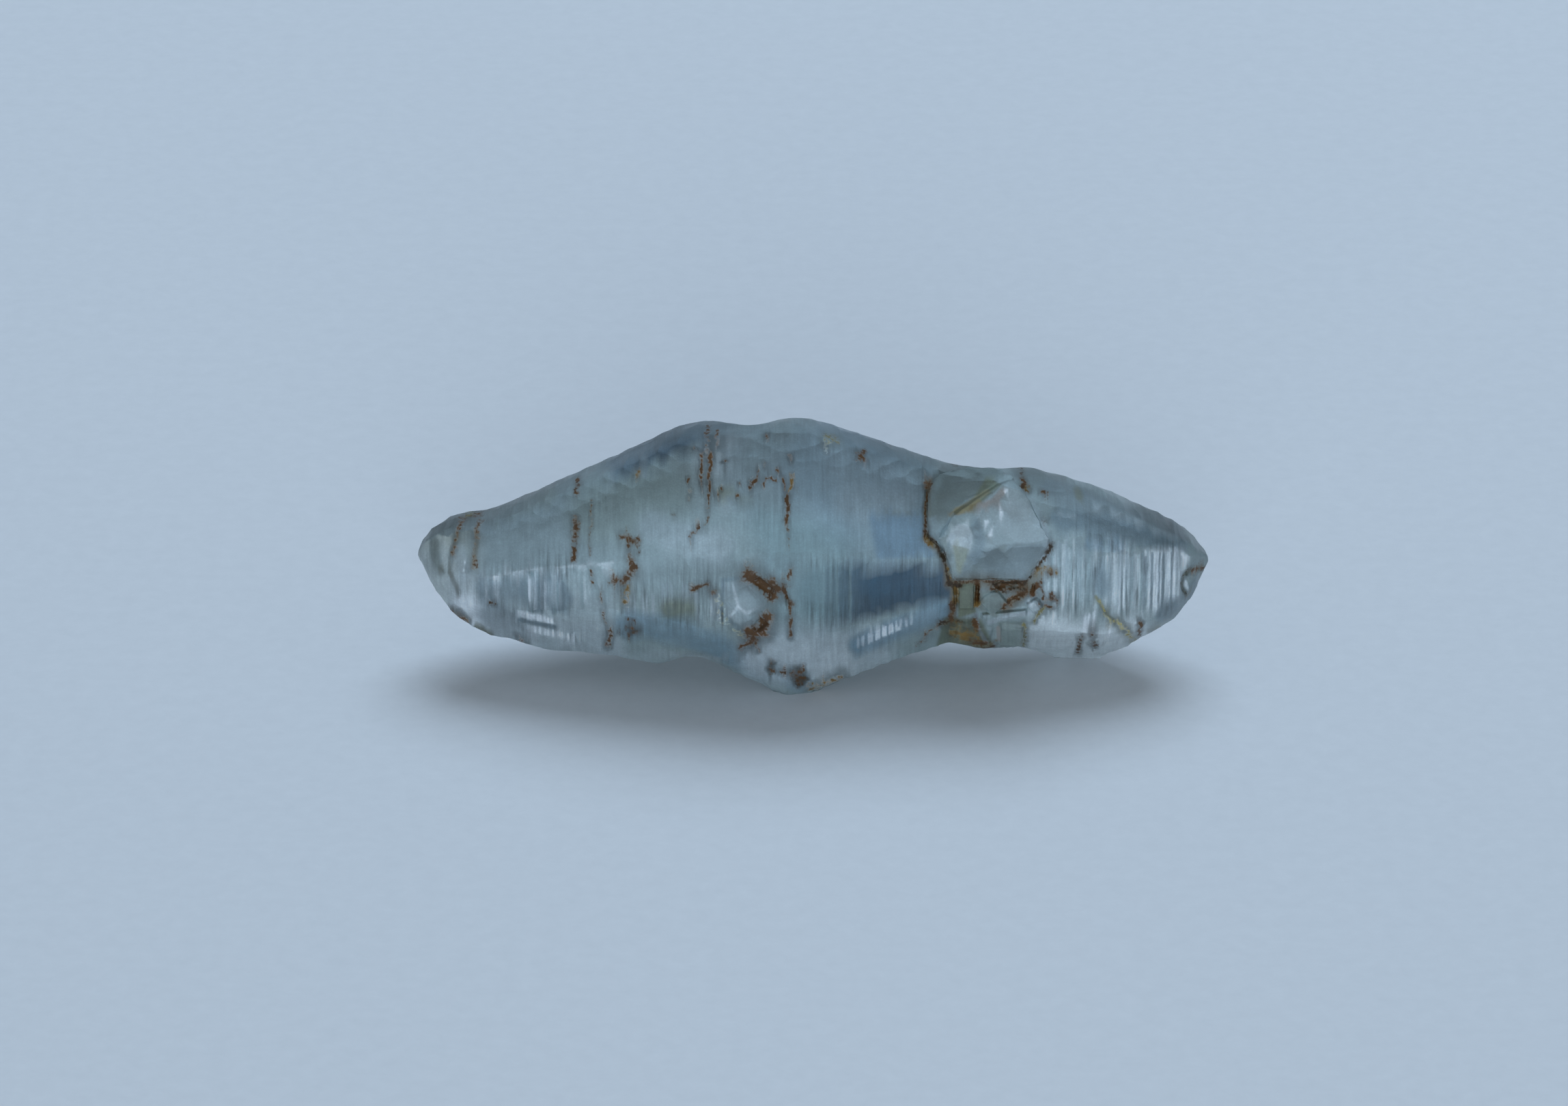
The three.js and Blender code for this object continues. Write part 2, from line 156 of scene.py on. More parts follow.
def refined(points, triangles, chosen, longest):
    """Halves the long edges of the chosen triangles, and splits the triangles beside them to match. Each
    triangle a, b, c is first turned so that ab is halved where one edge is, and ab and bc where two are."""
    starts, ends = triangles, np.roll(triangles, -1, axis=1)
    keys = np.minimum(starts, ends) * len(points) + np.maximum(starts, ends)
    edges, numbers = np.unique(keys, return_inverse=True)
    numbers = numbers.reshape(-1, 3)
    one, other = points[edges // len(points)], points[edges % len(points)]
    halved = np.zeros(len(edges), bool)
    halved[numbers[chosen]] = True
    halved &= np.linalg.norm(one - other, axis=1) > longest
    middles = np.full(len(edges), -1)
    middles[halved] = len(points) + np.arange(halved.sum())
    points = np.r_[points, (one + other)[halved] / 2]
    middle = middles[numbers]
    count = (middle >= 0).sum(1)
    first = np.where(count == 1, (middle >= 0).argmax(1), (middle < 0).argmax(1) + 1)
    order = (first[:, None] + np.arange(3)) % 3
    a, b, c = np.take_along_axis(triangles, order, 1).T
    ab, bc, ca = np.take_along_axis(middle, order, 1).T
    splits = {
        0: [(a, b, c)],
        1: [(a, ab, c), (ab, b, c)],
        2: [(ab, b, bc), (a, ab, bc), (a, bc, c)],
        3: [(a, ab, ca), (ab, b, bc), (ca, bc, c), (ab, bc, ca)],
    }
    made = [np.stack(corners, 1)[count == k] for k, parts in splits.items() for corners in parts]
    return points, np.concatenate(made)


def ramp(values, start, length):
    """0 up to the start, 1 from that length after it on, and a straight rise between."""
    return np.clip((values - start) / length, 0, 1)


def ripple(points, scale, seed):
    """A smooth irregular value between about -1 and 1 for each point, in waves of about the given length."""
    turns = np.random.default_rng(seed)
    total = np.zeros(len(points))
    for _ in range(WAVES):
        direction = turns.normal(size=3)
        direction *= turns.uniform(0.6, 1.6) / (scale * np.linalg.norm(direction))
        total += np.sin(points @ direction * 2 * math.pi + turns.uniform(0, 2 * math.pi))
    return total / (WAVES / 2)


def normals_of(points, triangles):
    """The direction that the surface faces at each point."""
    a, b, c = (points[triangles[:, k]] for k in range(3))
    across = np.cross(b - a, c - a)
    total = np.zeros_like(points)
    for k in range(3):
        for axis in range(3):
            total[:, axis] += np.bincount(triangles[:, k], across[:, axis], len(points))
    return total / np.maximum(np.linalg.norm(total, axis=1, keepdims=True), 1e-12)


def worn(points, triangles, share, passes, reach, axes):
    """Rounds the sharp edges: each point moves a share of the way to the mean of its close neighbours."""
    one, other = triangles.ravel(), np.roll(triangles, -1, axis=1).ravel()
    edges = np.unique(np.minimum(one, other) * len(points) + np.maximum(one, other))
    one, other = edges // len(points), edges % len(points)
    weight = np.exp(-((points[one] - points[other]) ** 2).sum(1) / reach**2)
    near = weight > WEAK_PULL
    one, other, weight = one[near], other[near], weight[near]
    degree = np.bincount(one, weight, len(points)) + np.bincount(other, weight, len(points)) + 1e-9
    share = share * (points[:, 2] > FLAT_KEPT) / 2 / degree
    points = points.copy()
    for _ in range(passes):
        for axis in axes:
            pull = (points[other, axis] - points[one, axis]) * weight
            pull = np.bincount(one, pull, len(points)) - np.bincount(other, pull, len(points))
            points[:, axis] += pull * share
    return points


def worn_surface(levels):
    """The sliced surface with its ledges evened out and its worn edges rounded, and with finer cells where
    small things are painted."""
    points, triangles = sliced_surface(levels)
    soft = 1 - share_of(CRISP, points, normals_of(points, triangles))
    points = worn(points, triangles, soft, *SMOOTHING)
    above = np.maximum(ramp(points[:, 2] - AXIS_HEIGHT, *ROUNDED_UPWARDS), ROUNDED_LEAST)
    to_end = np.minimum(points[:, 0] - low[0], high[0] - points[:, 0])
    ends = np.clip(ROUNDED_END - to_end, 0, ROUNDED_END_MOST)
    points = worn(points, triangles, soft * np.maximum(above, ends), *ROUNDING)
    for _ in range(REFINEMENTS):
        chosen = painted_finely(points[triangles].mean(1))
        points, triangles = refined(points, triangles, chosen, FINEST_CELL)
    return worn(points, triangles, 1, *EDGE_WEAR), triangles


def relief(points, normals, levels, depths):
    """How deep the surface is pressed in at each point: by growth lines, which come and go and are shallower
    on faces that look up, by the block's broken faces, and by a little unevenness."""
    blend = np.clip(0.5 + 0.8 * ripple(points * (0.3, 1, 1), 5.0, seed=1), 0, 1)
    depth = np.interp(points[:, 0], levels, depths[0]) * blend
    depth += np.interp(points[:, 0], levels, depths[1]) * (1 - blend)
    depth *= np.clip(0.6 + 0.6 * ripple(points, 4.0, seed=2), 0.1, 1)
    depth *= 1 - 0.6 * ramp(normals[:, 2], 0.2, 0.3)
    broken = share_of([BLOCK], points, normals)
    depth *= 1 - broken
    depth += broken * BROKEN_RELIEF * (1 + ripple(points, 0.5, seed=5) + 0.4 * ripple(points, 0.2, seed=6))
    depth += UNEVENNESS * (1 + ripple(points, 0.9, seed=3))
    return np.clip(depth, 0, np.clip(points[:, 2] - FLAT_KEPT, 0, None))


def fine_surface():
    """The dressed crystal's points and triangles, and the normals that its surface had before the relief."""
    levels, depths = growth_lines()
    points, triangles = worn_surface(levels)
    normals = normals_of(points, triangles)
    depth = relief(points, normals, levels, depths)
    return points - normals * depth[:, None], triangles, normals


# ---- Colours ----
def linear(red, green, blue):
    """A linear colour from display values of 0 to 255, by the sRGB standard's curve."""
    values = np.array([red, green, blue]) / 255
    return np.where(values <= 0.04045, values / 12.92, ((values + 0.055) / 1.055) ** 2.4)


BODY = linear(205, 221, 221)
DEEP_BLUE = linear(4, 60, 94)
BLUE = linear(150, 184, 214)
SKY = linear(144, 189, 218)
TEAL = linear(166, 196, 200)
SLATE = linear(140, 162, 176)
SMOKE = linear(160, 172, 178)
ASH = linear(144, 154, 152)
MILK = linear(216, 226, 232)
WHITE = linear(244, 249, 255)
GREEN_GREY = linear(176, 188, 178)
MOSS = linear(150, 152, 112)
TAN = linear(158, 132, 92)
STRAW = linear(206, 204, 164)
PINK = linear(226, 206, 196)
OLIVE = linear(118, 112, 74)
OCHRE = linear(114, 88, 42)
YELLOW = linear(146, 134, 72)
RUST = linear(80, 51, 16)
SOOT = linear(52, 36, 12)


def stroke(colour, strength, width, soft, *line):
    """A soft line: its colour, strength, half-width and soft edge, and the places that it passes through."""
    return colour, strength, width, soft, line, False


def patch(colour, strength, soft, *outline):
    """A filled outline with a soft edge."""
    return colour, strength, 0, soft, outline, True


def bars(colour, strength, top, bottom, *stations):
    """Short growth lines side by side, at the given stations. Bright ones are also painted light: windows and
    reflections in the crystal.
    """
    return [stroke(colour, strength, 0.025, 0.03, (at, top), (at, bottom)) for at in stations]


def many_bars(count, strength, first, last, top, bottom):
    """Growth lines of several brightnesses, of uneven length and spacing, up to a given strength. The white
    ones are also painted light and reflections.
    """
    made = []
    for at in np.linspace(first, last, count):
        colour = (WHITE, WHITE, MILK, SLATE, TEAL)[random.integers(5)]
        start, end = top - random.uniform(0, 0.35), bottom + random.uniform(0, 0.5)
        at += random.normal(0, 0.03)
        width, force = random.uniform(0.005, 0.035), strength * random.uniform(0.3, 1)
        made.append(stroke(colour, force, width, 0.035, (at, start), (at, end)))
    return made


# Outlines on the front: of the parts that keep their crisp edges, of the areas with small markings, and of
# the areas with strong growth lines.
BLOCK_TOP = (15.4, 1.2), (15.5, 2.6), (16.6, 2.75), (17.6, 2.7), (18.1, 2.4), (18.7, 1.2)
BLOCK_FOOT = (19.15, 0.45), (18.4, -0.72), (16.2, -0.7), (15.9, 0.1), (15.6, 0.55)
BLOCK = (*BLOCK_TOP, *BLOCK_FOOT)
UNDER_BLOCK = ((15.8, -0.7), (19.3, -0.7), (19.3, -1.9), (18.6, -2.8), (15.8, -2.8))
BROKEN_GROWTHS = ((9.2, -0.4), (10.8, -0.4), (11.3, -1.3), (10.6, -2.6), (9.4, -2.0))
NICK = ((22.9, 0.0), (24.1, 0.0), (24.1, -1.3), (22.9, -1.3))
CRISP = [BLOCK, UNDER_BLOCK, BROKEN_GROWTHS, NICK]
LENS_HIGHLIGHTS = [  # painted highlights on lower faces, with rows of short lines
    ((3.0, -1.5), (4.2, -1.75), (5.0, -2.6), (3.2, -2.4)),
    ((12.9, -2.95), (15.0, -2.35), (15.0, -1.95), (12.9, -2.45)),
]
OCHRE_EDGE = ((16.0, 1.1), (16.9, 1.5), (17.8, 1.9), (17.4, 2.3), (16.2, 1.6))
FINELY_PAINTED = [UNDER_BLOCK, BROKEN_GROWTHS, OCHRE_EDGE, *LENS_HIGHLIGHTS]
LINED = [
    ((19.3, 0.6), (21.0, 0.45), (23.2, 0.25), (22.9, -1.5), (19.3, -1.7)),
    ((20.1, -1.7), (20.6, -1.7), (20.6, -2.4), (20.1, -2.4)),
    ((1.9, -0.55), (3.3, -0.45), (4.6, -0.4), (4.5, -1.75), (3.2, -1.6), (2.0, -1.1)),
    ((3.2, -1.65), (4.2, -1.9), (4.7, -2.5), (3.4, -2.3)),
    ((6.2, -0.9), (9.3, -0.7), (9.3, -1.9), (6.2, -2.1)),
    ((11.9, -0.3), (15.9, -0.3), (15.9, -1.2), (12.2, -2.1)),
]

# Places on the front that the list below uses
DARK_PATCH = (15.9, -0.35), (16.0, -1.1), (14.6, -1.4)
BLOCK_CROWN = (15.4, 2.3), (15.9, 2.7), (17.3, 2.75), (17.7, 2.5), (17.0, 1.65), (16.1, 1.3), (15.35, 1.2)
GLINTS = (17.75, 1.95), (17.15, 1.02), (17.28, 0.65), (17.6, 1.3)

FRONT_WASHES = [
    # The knob and the first slope
    stroke(linear(230, 234, 222), 0.8, 0.7, 0.6, (0.3, 0.5), (1.0, 0.3), (0.9, -1.2)),
    stroke(MILK, 0.5, 0.4, 0.6, (0.5, -0.2), (1.2, -0.8), (1.8, -1.4)),
    stroke(STRAW, 0.4, 0.15, 0.4, (2.2, 1.25), (3.9, 1.9)),
    stroke(SMOKE, 0.5, 0.7, 0.9, (2.6, 0.3), (5.4, 1.1)),
    stroke(MILK, 0.5, 0.12, 0.18, (1.3, 0.2), (1.5, -0.5)),
    stroke(WHITE, 0.5, 0.01, 0.06, (1.8, -0.68), (2.4, -0.6), (3.4, -0.4), (6.0, -0.2)),
    # Partly milkiness, partly painted light: the lower faces lightened where light shines through the crystal
    # onto them
    stroke(MILK, 0.5, 0.5, 0.6, (1.7, -1.2), (3.0, -1.7), (5.4, -1.9)),
    stroke(MILK, 0.8, 0.4, 0.6, (1.6, -1.9), (3.4, -2.4), (5.6, -2.7)),
    stroke(WHITE, 0.6, 0.3, 0.5, (1.5, -1.7), (2.2, -2.1), (3.0, -2.4)),
    stroke(SLATE, 0.5, 0.2, 0.3, (2.2, -1.0), (2.9, -1.0)),
    # Painted light: bright windows where light shines through the crystal, with darker gaps between them,
    # over its growth lines
    *bars(WHITE, 0.5, -0.6, -1.35, 2.15, 2.4, 2.46, 2.52),
    stroke(SLATE, 0.7, 0.35, 0.15, (3.55, -0.95), (3.65, -1.25)),
    stroke(SLATE, 0.7, 0.35, 0.15, (4.15, -0.95), (4.35, -1.25)),
    *many_bars(8, 0.6, 3.4, 3.65, -0.45, -1.7),
    *many_bars(14, 0.65, 3.8, 4.5, -0.5, -1.75),
    *bars(WHITE, 0.5, -0.6, -1.55, 3.45, 3.53, 3.83, 4.18, 4.26),
    *many_bars(12, 0.4, 1.9, 3.2, -0.5, -1.2),
    *many_bars(14, 0.35, 4.7, 6.2, -0.6, -1.5),
    # Painted highlights: the bright lens on the lower face, with rows of short bright lines and a dark line
    # between them
    patch(WHITE, 0.35, 0.06, (3.05, -1.62), (3.9, -1.8), (4.2, -2.0), (4.0, -2.05), (3.2, -1.85)),
    patch(WHITE, 0.2, 0.06, (3.4, -2.1), (4.3, -2.3), (4.8, -2.5), (4.6, -2.55), (3.5, -2.25)),
    *[
        stroke(WHITE, 0.7, 0.02, 0.03, (at, -0.98 - 0.22 * at), (at, -1.17 - 0.22 * at))
        for at in (3.1, 3.2, 3.27, 3.4, 3.48, 3.56, 3.7, 3.78, 3.9, 4.0, 4.12)
    ],
    stroke(SLATE, 0.7, 0.03, 0.06, (3.15, -1.9), (4.2, -2.12)),
    *[
        stroke(WHITE, 0.55, 0.02, 0.03, (at, -1.42 - 0.2 * at), (at, -1.57 - 0.2 * at))
        for at in (3.4, 3.52, 3.6, 3.75, 3.9, 4.0, 4.15, 4.3, 4.42, 4.6, 4.75)
    ],
    stroke(SLATE, 0.3, 0.3, 0.5, (2.4, -1.7), (2.9, -2.2)),
    stroke(MILK, 0.6, 0.2, 0.35, (2.4, -2.6), (3.8, -3.0), (5.6, -3.1)),
    stroke(OLIVE, 0.6, 0.04, 0.1, (0.65, 0.85), (1.3, 1.05)),
    stroke(OLIVE, 0.35, 0.03, 0.2, (0.55, 0.4), (0.6, -0.2), (0.75, -0.4)),
    stroke(TAN, 0.5, 0.02, 0.08, (0.7, -0.4), (1.0, -0.4), (1.2, -0.8), (1.3, -1.1)),
    stroke(TAN, 0.6, 0.02, 0.1, (1.1, 0.1), (1.28, 0.8), (1.5, 1.15), (1.9, 1.3), (1.85, 0.4), (1.75, -0.3)),
    stroke(TAN, 0.6, 0.08, 0.15, (1.0, -1.68), (1.45, -1.95)),
    stroke(YELLOW, 0.75, 0.06, 0.12, (1.85, -2.15), (2.2, -2.45)),
    *[stroke(WHITE, 0.7, 0.015, 0.03, at) for at in ((1.5, -0.15), (1.6, -0.3), (1.45, -0.4), (2.0, -0.45))],
    # The slope up to the belly
    # Partly the crystal's blue, partly painted shade: the upper band and the ribbon along its top edge
    # darkened where they reflect the dark surroundings behind
    patch(linear(98, 126, 152), 1.0, 0.2, (6.0, 2.3), (6.0, 3.2), (8.2, 4.6), (8.8, 3.62), (8.0, 3.33)),
    stroke(SLATE, 0.4, 0.15, 0.4, (8.6, 4.0), (10.0, 3.9), (10.9, 4.3)),
    stroke(STRAW, 0.5, 0.12, 0.2, (9.05, 4.0), (8.95, 3.1)),
    stroke(STRAW, 0.5, 0.15, 0.25, (11.0, 4.1), (11.1, 3.6)),
    stroke(MILK, 0.5, 0.05, 0.1, (5.93, 2.7), (5.93, 1.2)),
    stroke(GREEN_GREY, 0.75, 0.5, 0.9, (5.6, 1.3), (7.4, 1.7)),
    stroke(MILK, 0.75, 0.4, 0.7, (9.2, 3.2), (10.4, 2.6)),
    stroke(MILK, 0.6, 0.25, 0.45, (7.2, 0.9), (8.3, 0.45), (9.2, 0.3)),
    stroke(STRAW, 0.7, 0.06, 0.14, (9.2, 1.95), (9.6, 1.88), (10.1, 1.62)),
    stroke(MILK, 0.5, 0.1, 0.25, (9.4, 1.6), (10.2, 1.4)),
    stroke(MILK, 0.5, 0.06, 0.12, (6.9, 3.0), (6.9, 2.5)),
    stroke(MILK, 0.4, 0.1, 0.25, (10.9, 3.95), (11.2, 3.9)),
    stroke(ASH, 0.6, 0.3, 0.45, (6.6, -0.9), (8.4, -0.75), (10.2, -0.6)),
    # Painted light: milky bars, bright windows where light comes through the crystal's back faces
    *bars(MILK, 0.8, -1.2, -2.0, 6.4, 6.5, 6.62, 6.9, 7.0, 7.2),
    *bars(MILK, 0.6, -0.9, -1.7, 7.5, 7.62, 7.75, 8.1, 8.2, 8.32),
    *bars(MILK, 0.9, -1.1, -1.9, 8.45, 8.52, 8.95, 9.02, 9.1, 9.18),
    stroke(MOSS, 0.8, 0.2, 0.3, (7.75, -1.6), (8.15, -1.6)),
    stroke(SKY, 0.6, 0.22, 0.3, (6.4, -2.05), (7.8, -2.2), (9.2, -2.75), (10.4, -3.35), (11.6, -3.7)),
    stroke(MILK, 0.5, 0.1, 0.2, (5.6, -3.0), (7.4, -3.05), (9.0, -3.2)),
    stroke(MILK, 0.6, 0.02, 0.06, (7.0, -2.75), (8.2, -3.0), (9.4, -3.1)),
    patch(MILK, 0.5, 0.08, (9.3, -0.8), (10.1, -0.75), (10.65, -1.45), (10.05, -2.2), (9.4, -1.75)),
    stroke(SLATE, 0.6, 0.02, 0.07, (10.1, -0.6), (9.3, -0.7), (9.25, -1.7), (9.9, -2.25)),
    # Painted highlights along the broken growth's edges
    stroke(WHITE, 0.4, 0.015, 0.06, (9.6, -0.85), (9.75, -1.5), (10.0, -1.7), (10.5, -1.45)),
    stroke(WHITE, 0.4, 0.015, 0.06, (9.75, -1.5), (9.5, -1.8)),
    # The belly
    stroke(TEAL, 0.7, 0.8, 1.2, (10.9, 2.6), (11.8, 0.4), (11.9, -1.5)),
    stroke(MILK, 0.45, 0.9, 1.0, (10.6, 2.9), (13.4, 2.2)),
    stroke(SLATE, 0.4, 0.15, 0.3, (12.4, 3.9), (13.4, 3.5), (15.4, 2.8)),
    stroke(BLUE, 0.3, 1.0, 1.4, (12.8, 2.6), (14.2, 1.4)),
    stroke(MILK, 0.3, 0.25, 0.5, (13.2, 1.6), (15.0, 1.5)),
    stroke(OLIVE, 0.45, 0.01, 0.1, (14.2, 1.32), (15.1, 1.25)),
    patch(BLUE, 0.8, 0.25, (13.8, 1.15), (15.2, 1.1), (15.5, 0.1), (14.0, 0.05)),
    stroke(linear(96, 142, 152), 0.5, 0.45, 0.6, (12.2, -1.1), (13.4, -0.9)),
    *[
        patch(DEEP_BLUE, 0.44, 0.3, (at, -0.45), *DARK_PATCH, (at, 0.32 * at - 6))
        for at in (12.5, 12.9, 13.2, 13.5, 13.8)
    ],
    stroke(DEEP_BLUE, 0.5, 0.3, 0.5, (13.9, -0.9), (14.6, -0.9)),
    *bars(TEAL, 0.6, -0.3, -1.9, 12.3, 12.52, 12.7, 13.1),
    # Partly milkiness, partly painted light: the belly's lower faces lightened where light shines through the
    # crystal
    stroke(MILK, 0.9, 0.5, 0.8, (10.6, -2.9), (12.4, -3.0), (13.6, -3.0)),
    stroke(WHITE, 0.2, 0.4, 0.6, (10.4, -3.2), (12.6, -3.4)),
    stroke(SKY, 0.8, 0.15, 0.3, (13.4, -2.65), (14.5, -2.15), (16.0, -1.6)),
    # Painted highlights: bright short lines on the lower strip, strongest at its middle
    stroke(WHITE, 0.2, 0.1, 0.3, (13.6, -2.55), (14.5, -2.15), (15.6, -1.75)),
    *[
        stroke(WHITE, 0.9 - 0.5 * abs(at - 14.2), 0.02, 0.04, (at, 0.44 * at - 8.6), (at, 0.44 * at - 8.35))
        for at in (13.35, 13.5, 13.68, 13.76, 13.9, 13.98, 14.1, 14.17, 14.3, 14.38, 14.5, 14.62, 14.8, 14.95)
    ],
    # The block
    # Painted shade and light: the block's facets in different tones, the upper left one darker, the main one
    # lighter, the lower band darker
    patch(linear(160, 172, 168), 0.95, 0.05, *BLOCK_CROWN),
    patch(MILK, 0.35, 0.12, (17.0, 1.62), (17.75, 2.1), (18.4, 1.95), (18.8, 1.2), (19.1, 0.45), (16.7, 0.3)),
    patch(MILK, 0.35, 0.2, (17.9, 1.7), (18.5, 1.4), (18.95, 0.6), (18.2, 0.4), (17.5, 0.9)),
    patch(SMOKE, 0.8, 0.2, (16.7, 0.05), (18.0, 0.25), (19.05, 0.3), (18.45, -0.72), (16.4, -0.7)),
    stroke(SLATE, 0.5, 0.08, 0.15, (16.8, 1.0), (17.0, 0.5), (16.8, -0.1)),
    # Painted highlight: the bright spoon on the block's lower left
    patch(
        WHITE, 0.45, 0.06, (16.0, 0.5), (16.2, 0.9), (16.58, 0.98), (16.73, 0.6), (16.64, 0.15), (16.4, 0.1)
    ),
    patch(STRAW, 0.7, 0.08, (16.2, 0.3), (16.6, 0.2), (16.36, -0.5)),
    patch(MOSS, 0.9, 0.08, (17.2, 2.35), (17.55, 2.15), (17.0, 1.66), (16.75, 1.62)),
    stroke(linear(196, 158, 96), 1.0, 0.08, 0.08, (16.3, 1.36), (16.6, 1.45), (16.9, 1.6)),
    stroke(linear(196, 158, 96), 0.7, 0.03, 0.08, (16.1, 1.25), (17.2, 1.95)),
    stroke(PINK, 0.9, 0.06, 0.08, (16.95, 1.5), (17.4, 1.65), (17.65, 1.95)),
    # Painted highlights: white dots at the glints
    *[stroke(WHITE, 0.9, 0.03, 0.07, at) for at in GLINTS],
    stroke(MILK, 0.6, 0.05, 0.08, (18.8, 1.1), (19.1, 0.5), (18.5, -0.6)),
    stroke(TAN, 0.6, 0.03, 0.15, (15.45, 2.3), (15.36, 1.4), (15.4, 0.6), (15.9, -0.05), (16.1, -0.7)),
    stroke(TAN, 0.8, 0.06, 0.1, (15.42, 0.55), (15.6, 0.35)),
    stroke(TAN, 0.7, 0.06, 0.2, (16.1, -0.8), (17.2, -0.8), (18.4, -0.86), (18.9, -0.5), (19.2, -0.45)),
    stroke(TAN, 0.7, 0.1, 0.2, (18.45, -0.95), (17.8, -1.5)),
    stroke(TAN, 0.8, 0.05, 0.1, (16.9, -0.8), (16.92, -1.4)),
    stroke(TAN, 0.8, 0.05, 0.12, (16.25, -0.8), (16.2, -2.0)),
    # Under the block
    patch(MOSS, 0.95, 0.08, (16.35, -0.8), (16.85, -0.8), (16.85, -1.65), (16.4, -1.8)),
    patch(MOSS, 0.9, 0.15, (16.0, -1.9), (17.0, -1.95), (17.4, -2.7), (15.8, -2.75)),
    patch(GREEN_GREY, 0.9, 0.06, (17.0, -1.05), (17.85, -1.05), (17.5, -1.8), (17.0, -1.6)),
    patch(MILK, 0.6, 0.04, (18.32, -1.32), (18.66, -1.16), (18.98, -1.45), (18.62, -1.7)),
    *[stroke(WHITE, 0.7, 0.01, 0.03, (at, -1.3), (at + 0.12, -1.5)) for at in (18.45, 18.58, 18.7)],
    stroke(MILK, 0.9, 0.05, 0.05, (17.3, -1.98), (17.85, -1.8), (18.5, -1.7)),
    patch(GREEN_GREY, 0.8, 0.08, (17.6, -2.0), (18.35, -2.0), (18.4, -2.7), (17.7, -2.7)),
    stroke(MILK, 0.9, 0.03, 0.04, (16.9, -1.75), (17.0, -2.2), (17.25, -2.6)),
    stroke(PINK, 0.8, 0.04, 0.05, (17.58, -2.15), (17.62, -2.5)),
    # The second swelling and its point
    patch(ASH, 0.7, 0.15, (18.0, 2.75), (19.5, 2.7), (19.6, 2.1), (18.4, 1.9)),
    stroke(SMOKE, 0.9, 0.25, 0.3, (19.2, 2.0), (21.0, 1.3), (22.8, 0.75)),
    stroke(SLATE, 0.8, 0.2, 0.25, (19.4, 1.15), (21.2, 0.75), (23.0, 0.4)),
    stroke(MILK, 0.75, 0.04, 0.1, (20.25, 1.55), (21.6, 1.12), (22.3, 0.8), (23.0, 0.55)),
    stroke(MILK, 0.5, 0.03, 0.08, (19.0, 1.35), (19.9, 1.2)),
    stroke(BLUE, 0.6, 0.1, 0.15, (20.3, 0.35), (21.2, 0.3)),
    # Painted reflection: the bright right front face, with white growth lines catching the light
    patch(WHITE, 0.6, 0.3, (22.0, 0.1), (23.1, 0.2), (23.1, -0.9), (22.8, -1.6), (22.2, -1.6)),
    *many_bars(70, 0.3, 18.9, 21.6, 0.6, -1.9),
    *many_bars(50, 0.45, 20.6, 23.1, 0.3, -1.8),
    patch(WHITE, 0.6, 0.05, (23.1, 0.1), (23.35, 0.0), (23.25, -0.2)),
    *bars(SLATE, 0.5, 0.1, -1.4, 22.2, 22.42, 22.55, 22.8),
    stroke(SLATE, 0.6, 0.1, 0.3, (20.6, -0.6), (20.65, -0.95)),
    stroke(SLATE, 0.7, 0.15, 0.2, (22.6, -1.75), (23.3, -1.45), (23.75, -0.8)),
    # Painted light: a sparkly bright patch on the low right, milky with white bars
    patch(MILK, 0.7, 0.06, (20.15, -1.75), (20.5, -1.8), (20.55, -2.2), (20.15, -2.5)),
    *bars(WHITE, 0.6, -1.7, -2.4, 20.18, 20.3, 20.45),
    stroke(WHITE, 0.8, 0.015, 0.03, (20.98, -2.1), (20.9, -2.45)),
    stroke(YELLOW, 0.75, 0.015, 0.06, (20.5, -1.2), (20.8, -1.7), (21.15, -2.0)),
    stroke(YELLOW, 0.75, 0.05, 0.12, (21.15, -2.0), (21.45, -2.2), (21.75, -2.55)),
    stroke(YELLOW, 0.6, 0.03, 0.1, (22.2, -2.25), (22.5, -2.15)),
    stroke(YELLOW, 0.55, 0.06, 0.12, (19.95, 2.0), (20.0, 1.8)),
    stroke(OLIVE, 0.7, 0.015, 0.05, (23.4, -0.35), (23.2, -0.55), (23.15, -0.9), (23.3, -1.2), (23.5, -0.9)),
    stroke(OLIVE, 0.8, 0.05, 0.06, (23.3, -0.5), (23.5, -0.45), (23.85, -0.35)),
    stroke(WHITE, 0.6, 0.02, 0.05, (23.25, -0.75), (23.35, -1.0)),
    # Partly milkiness, partly painted light: the low right faces lightened where light shines through the
    # crystal
    stroke(WHITE, 0.6, 0.4, 0.6, (19.0, -2.4), (20.6, -2.8), (21.6, -2.5)),
]

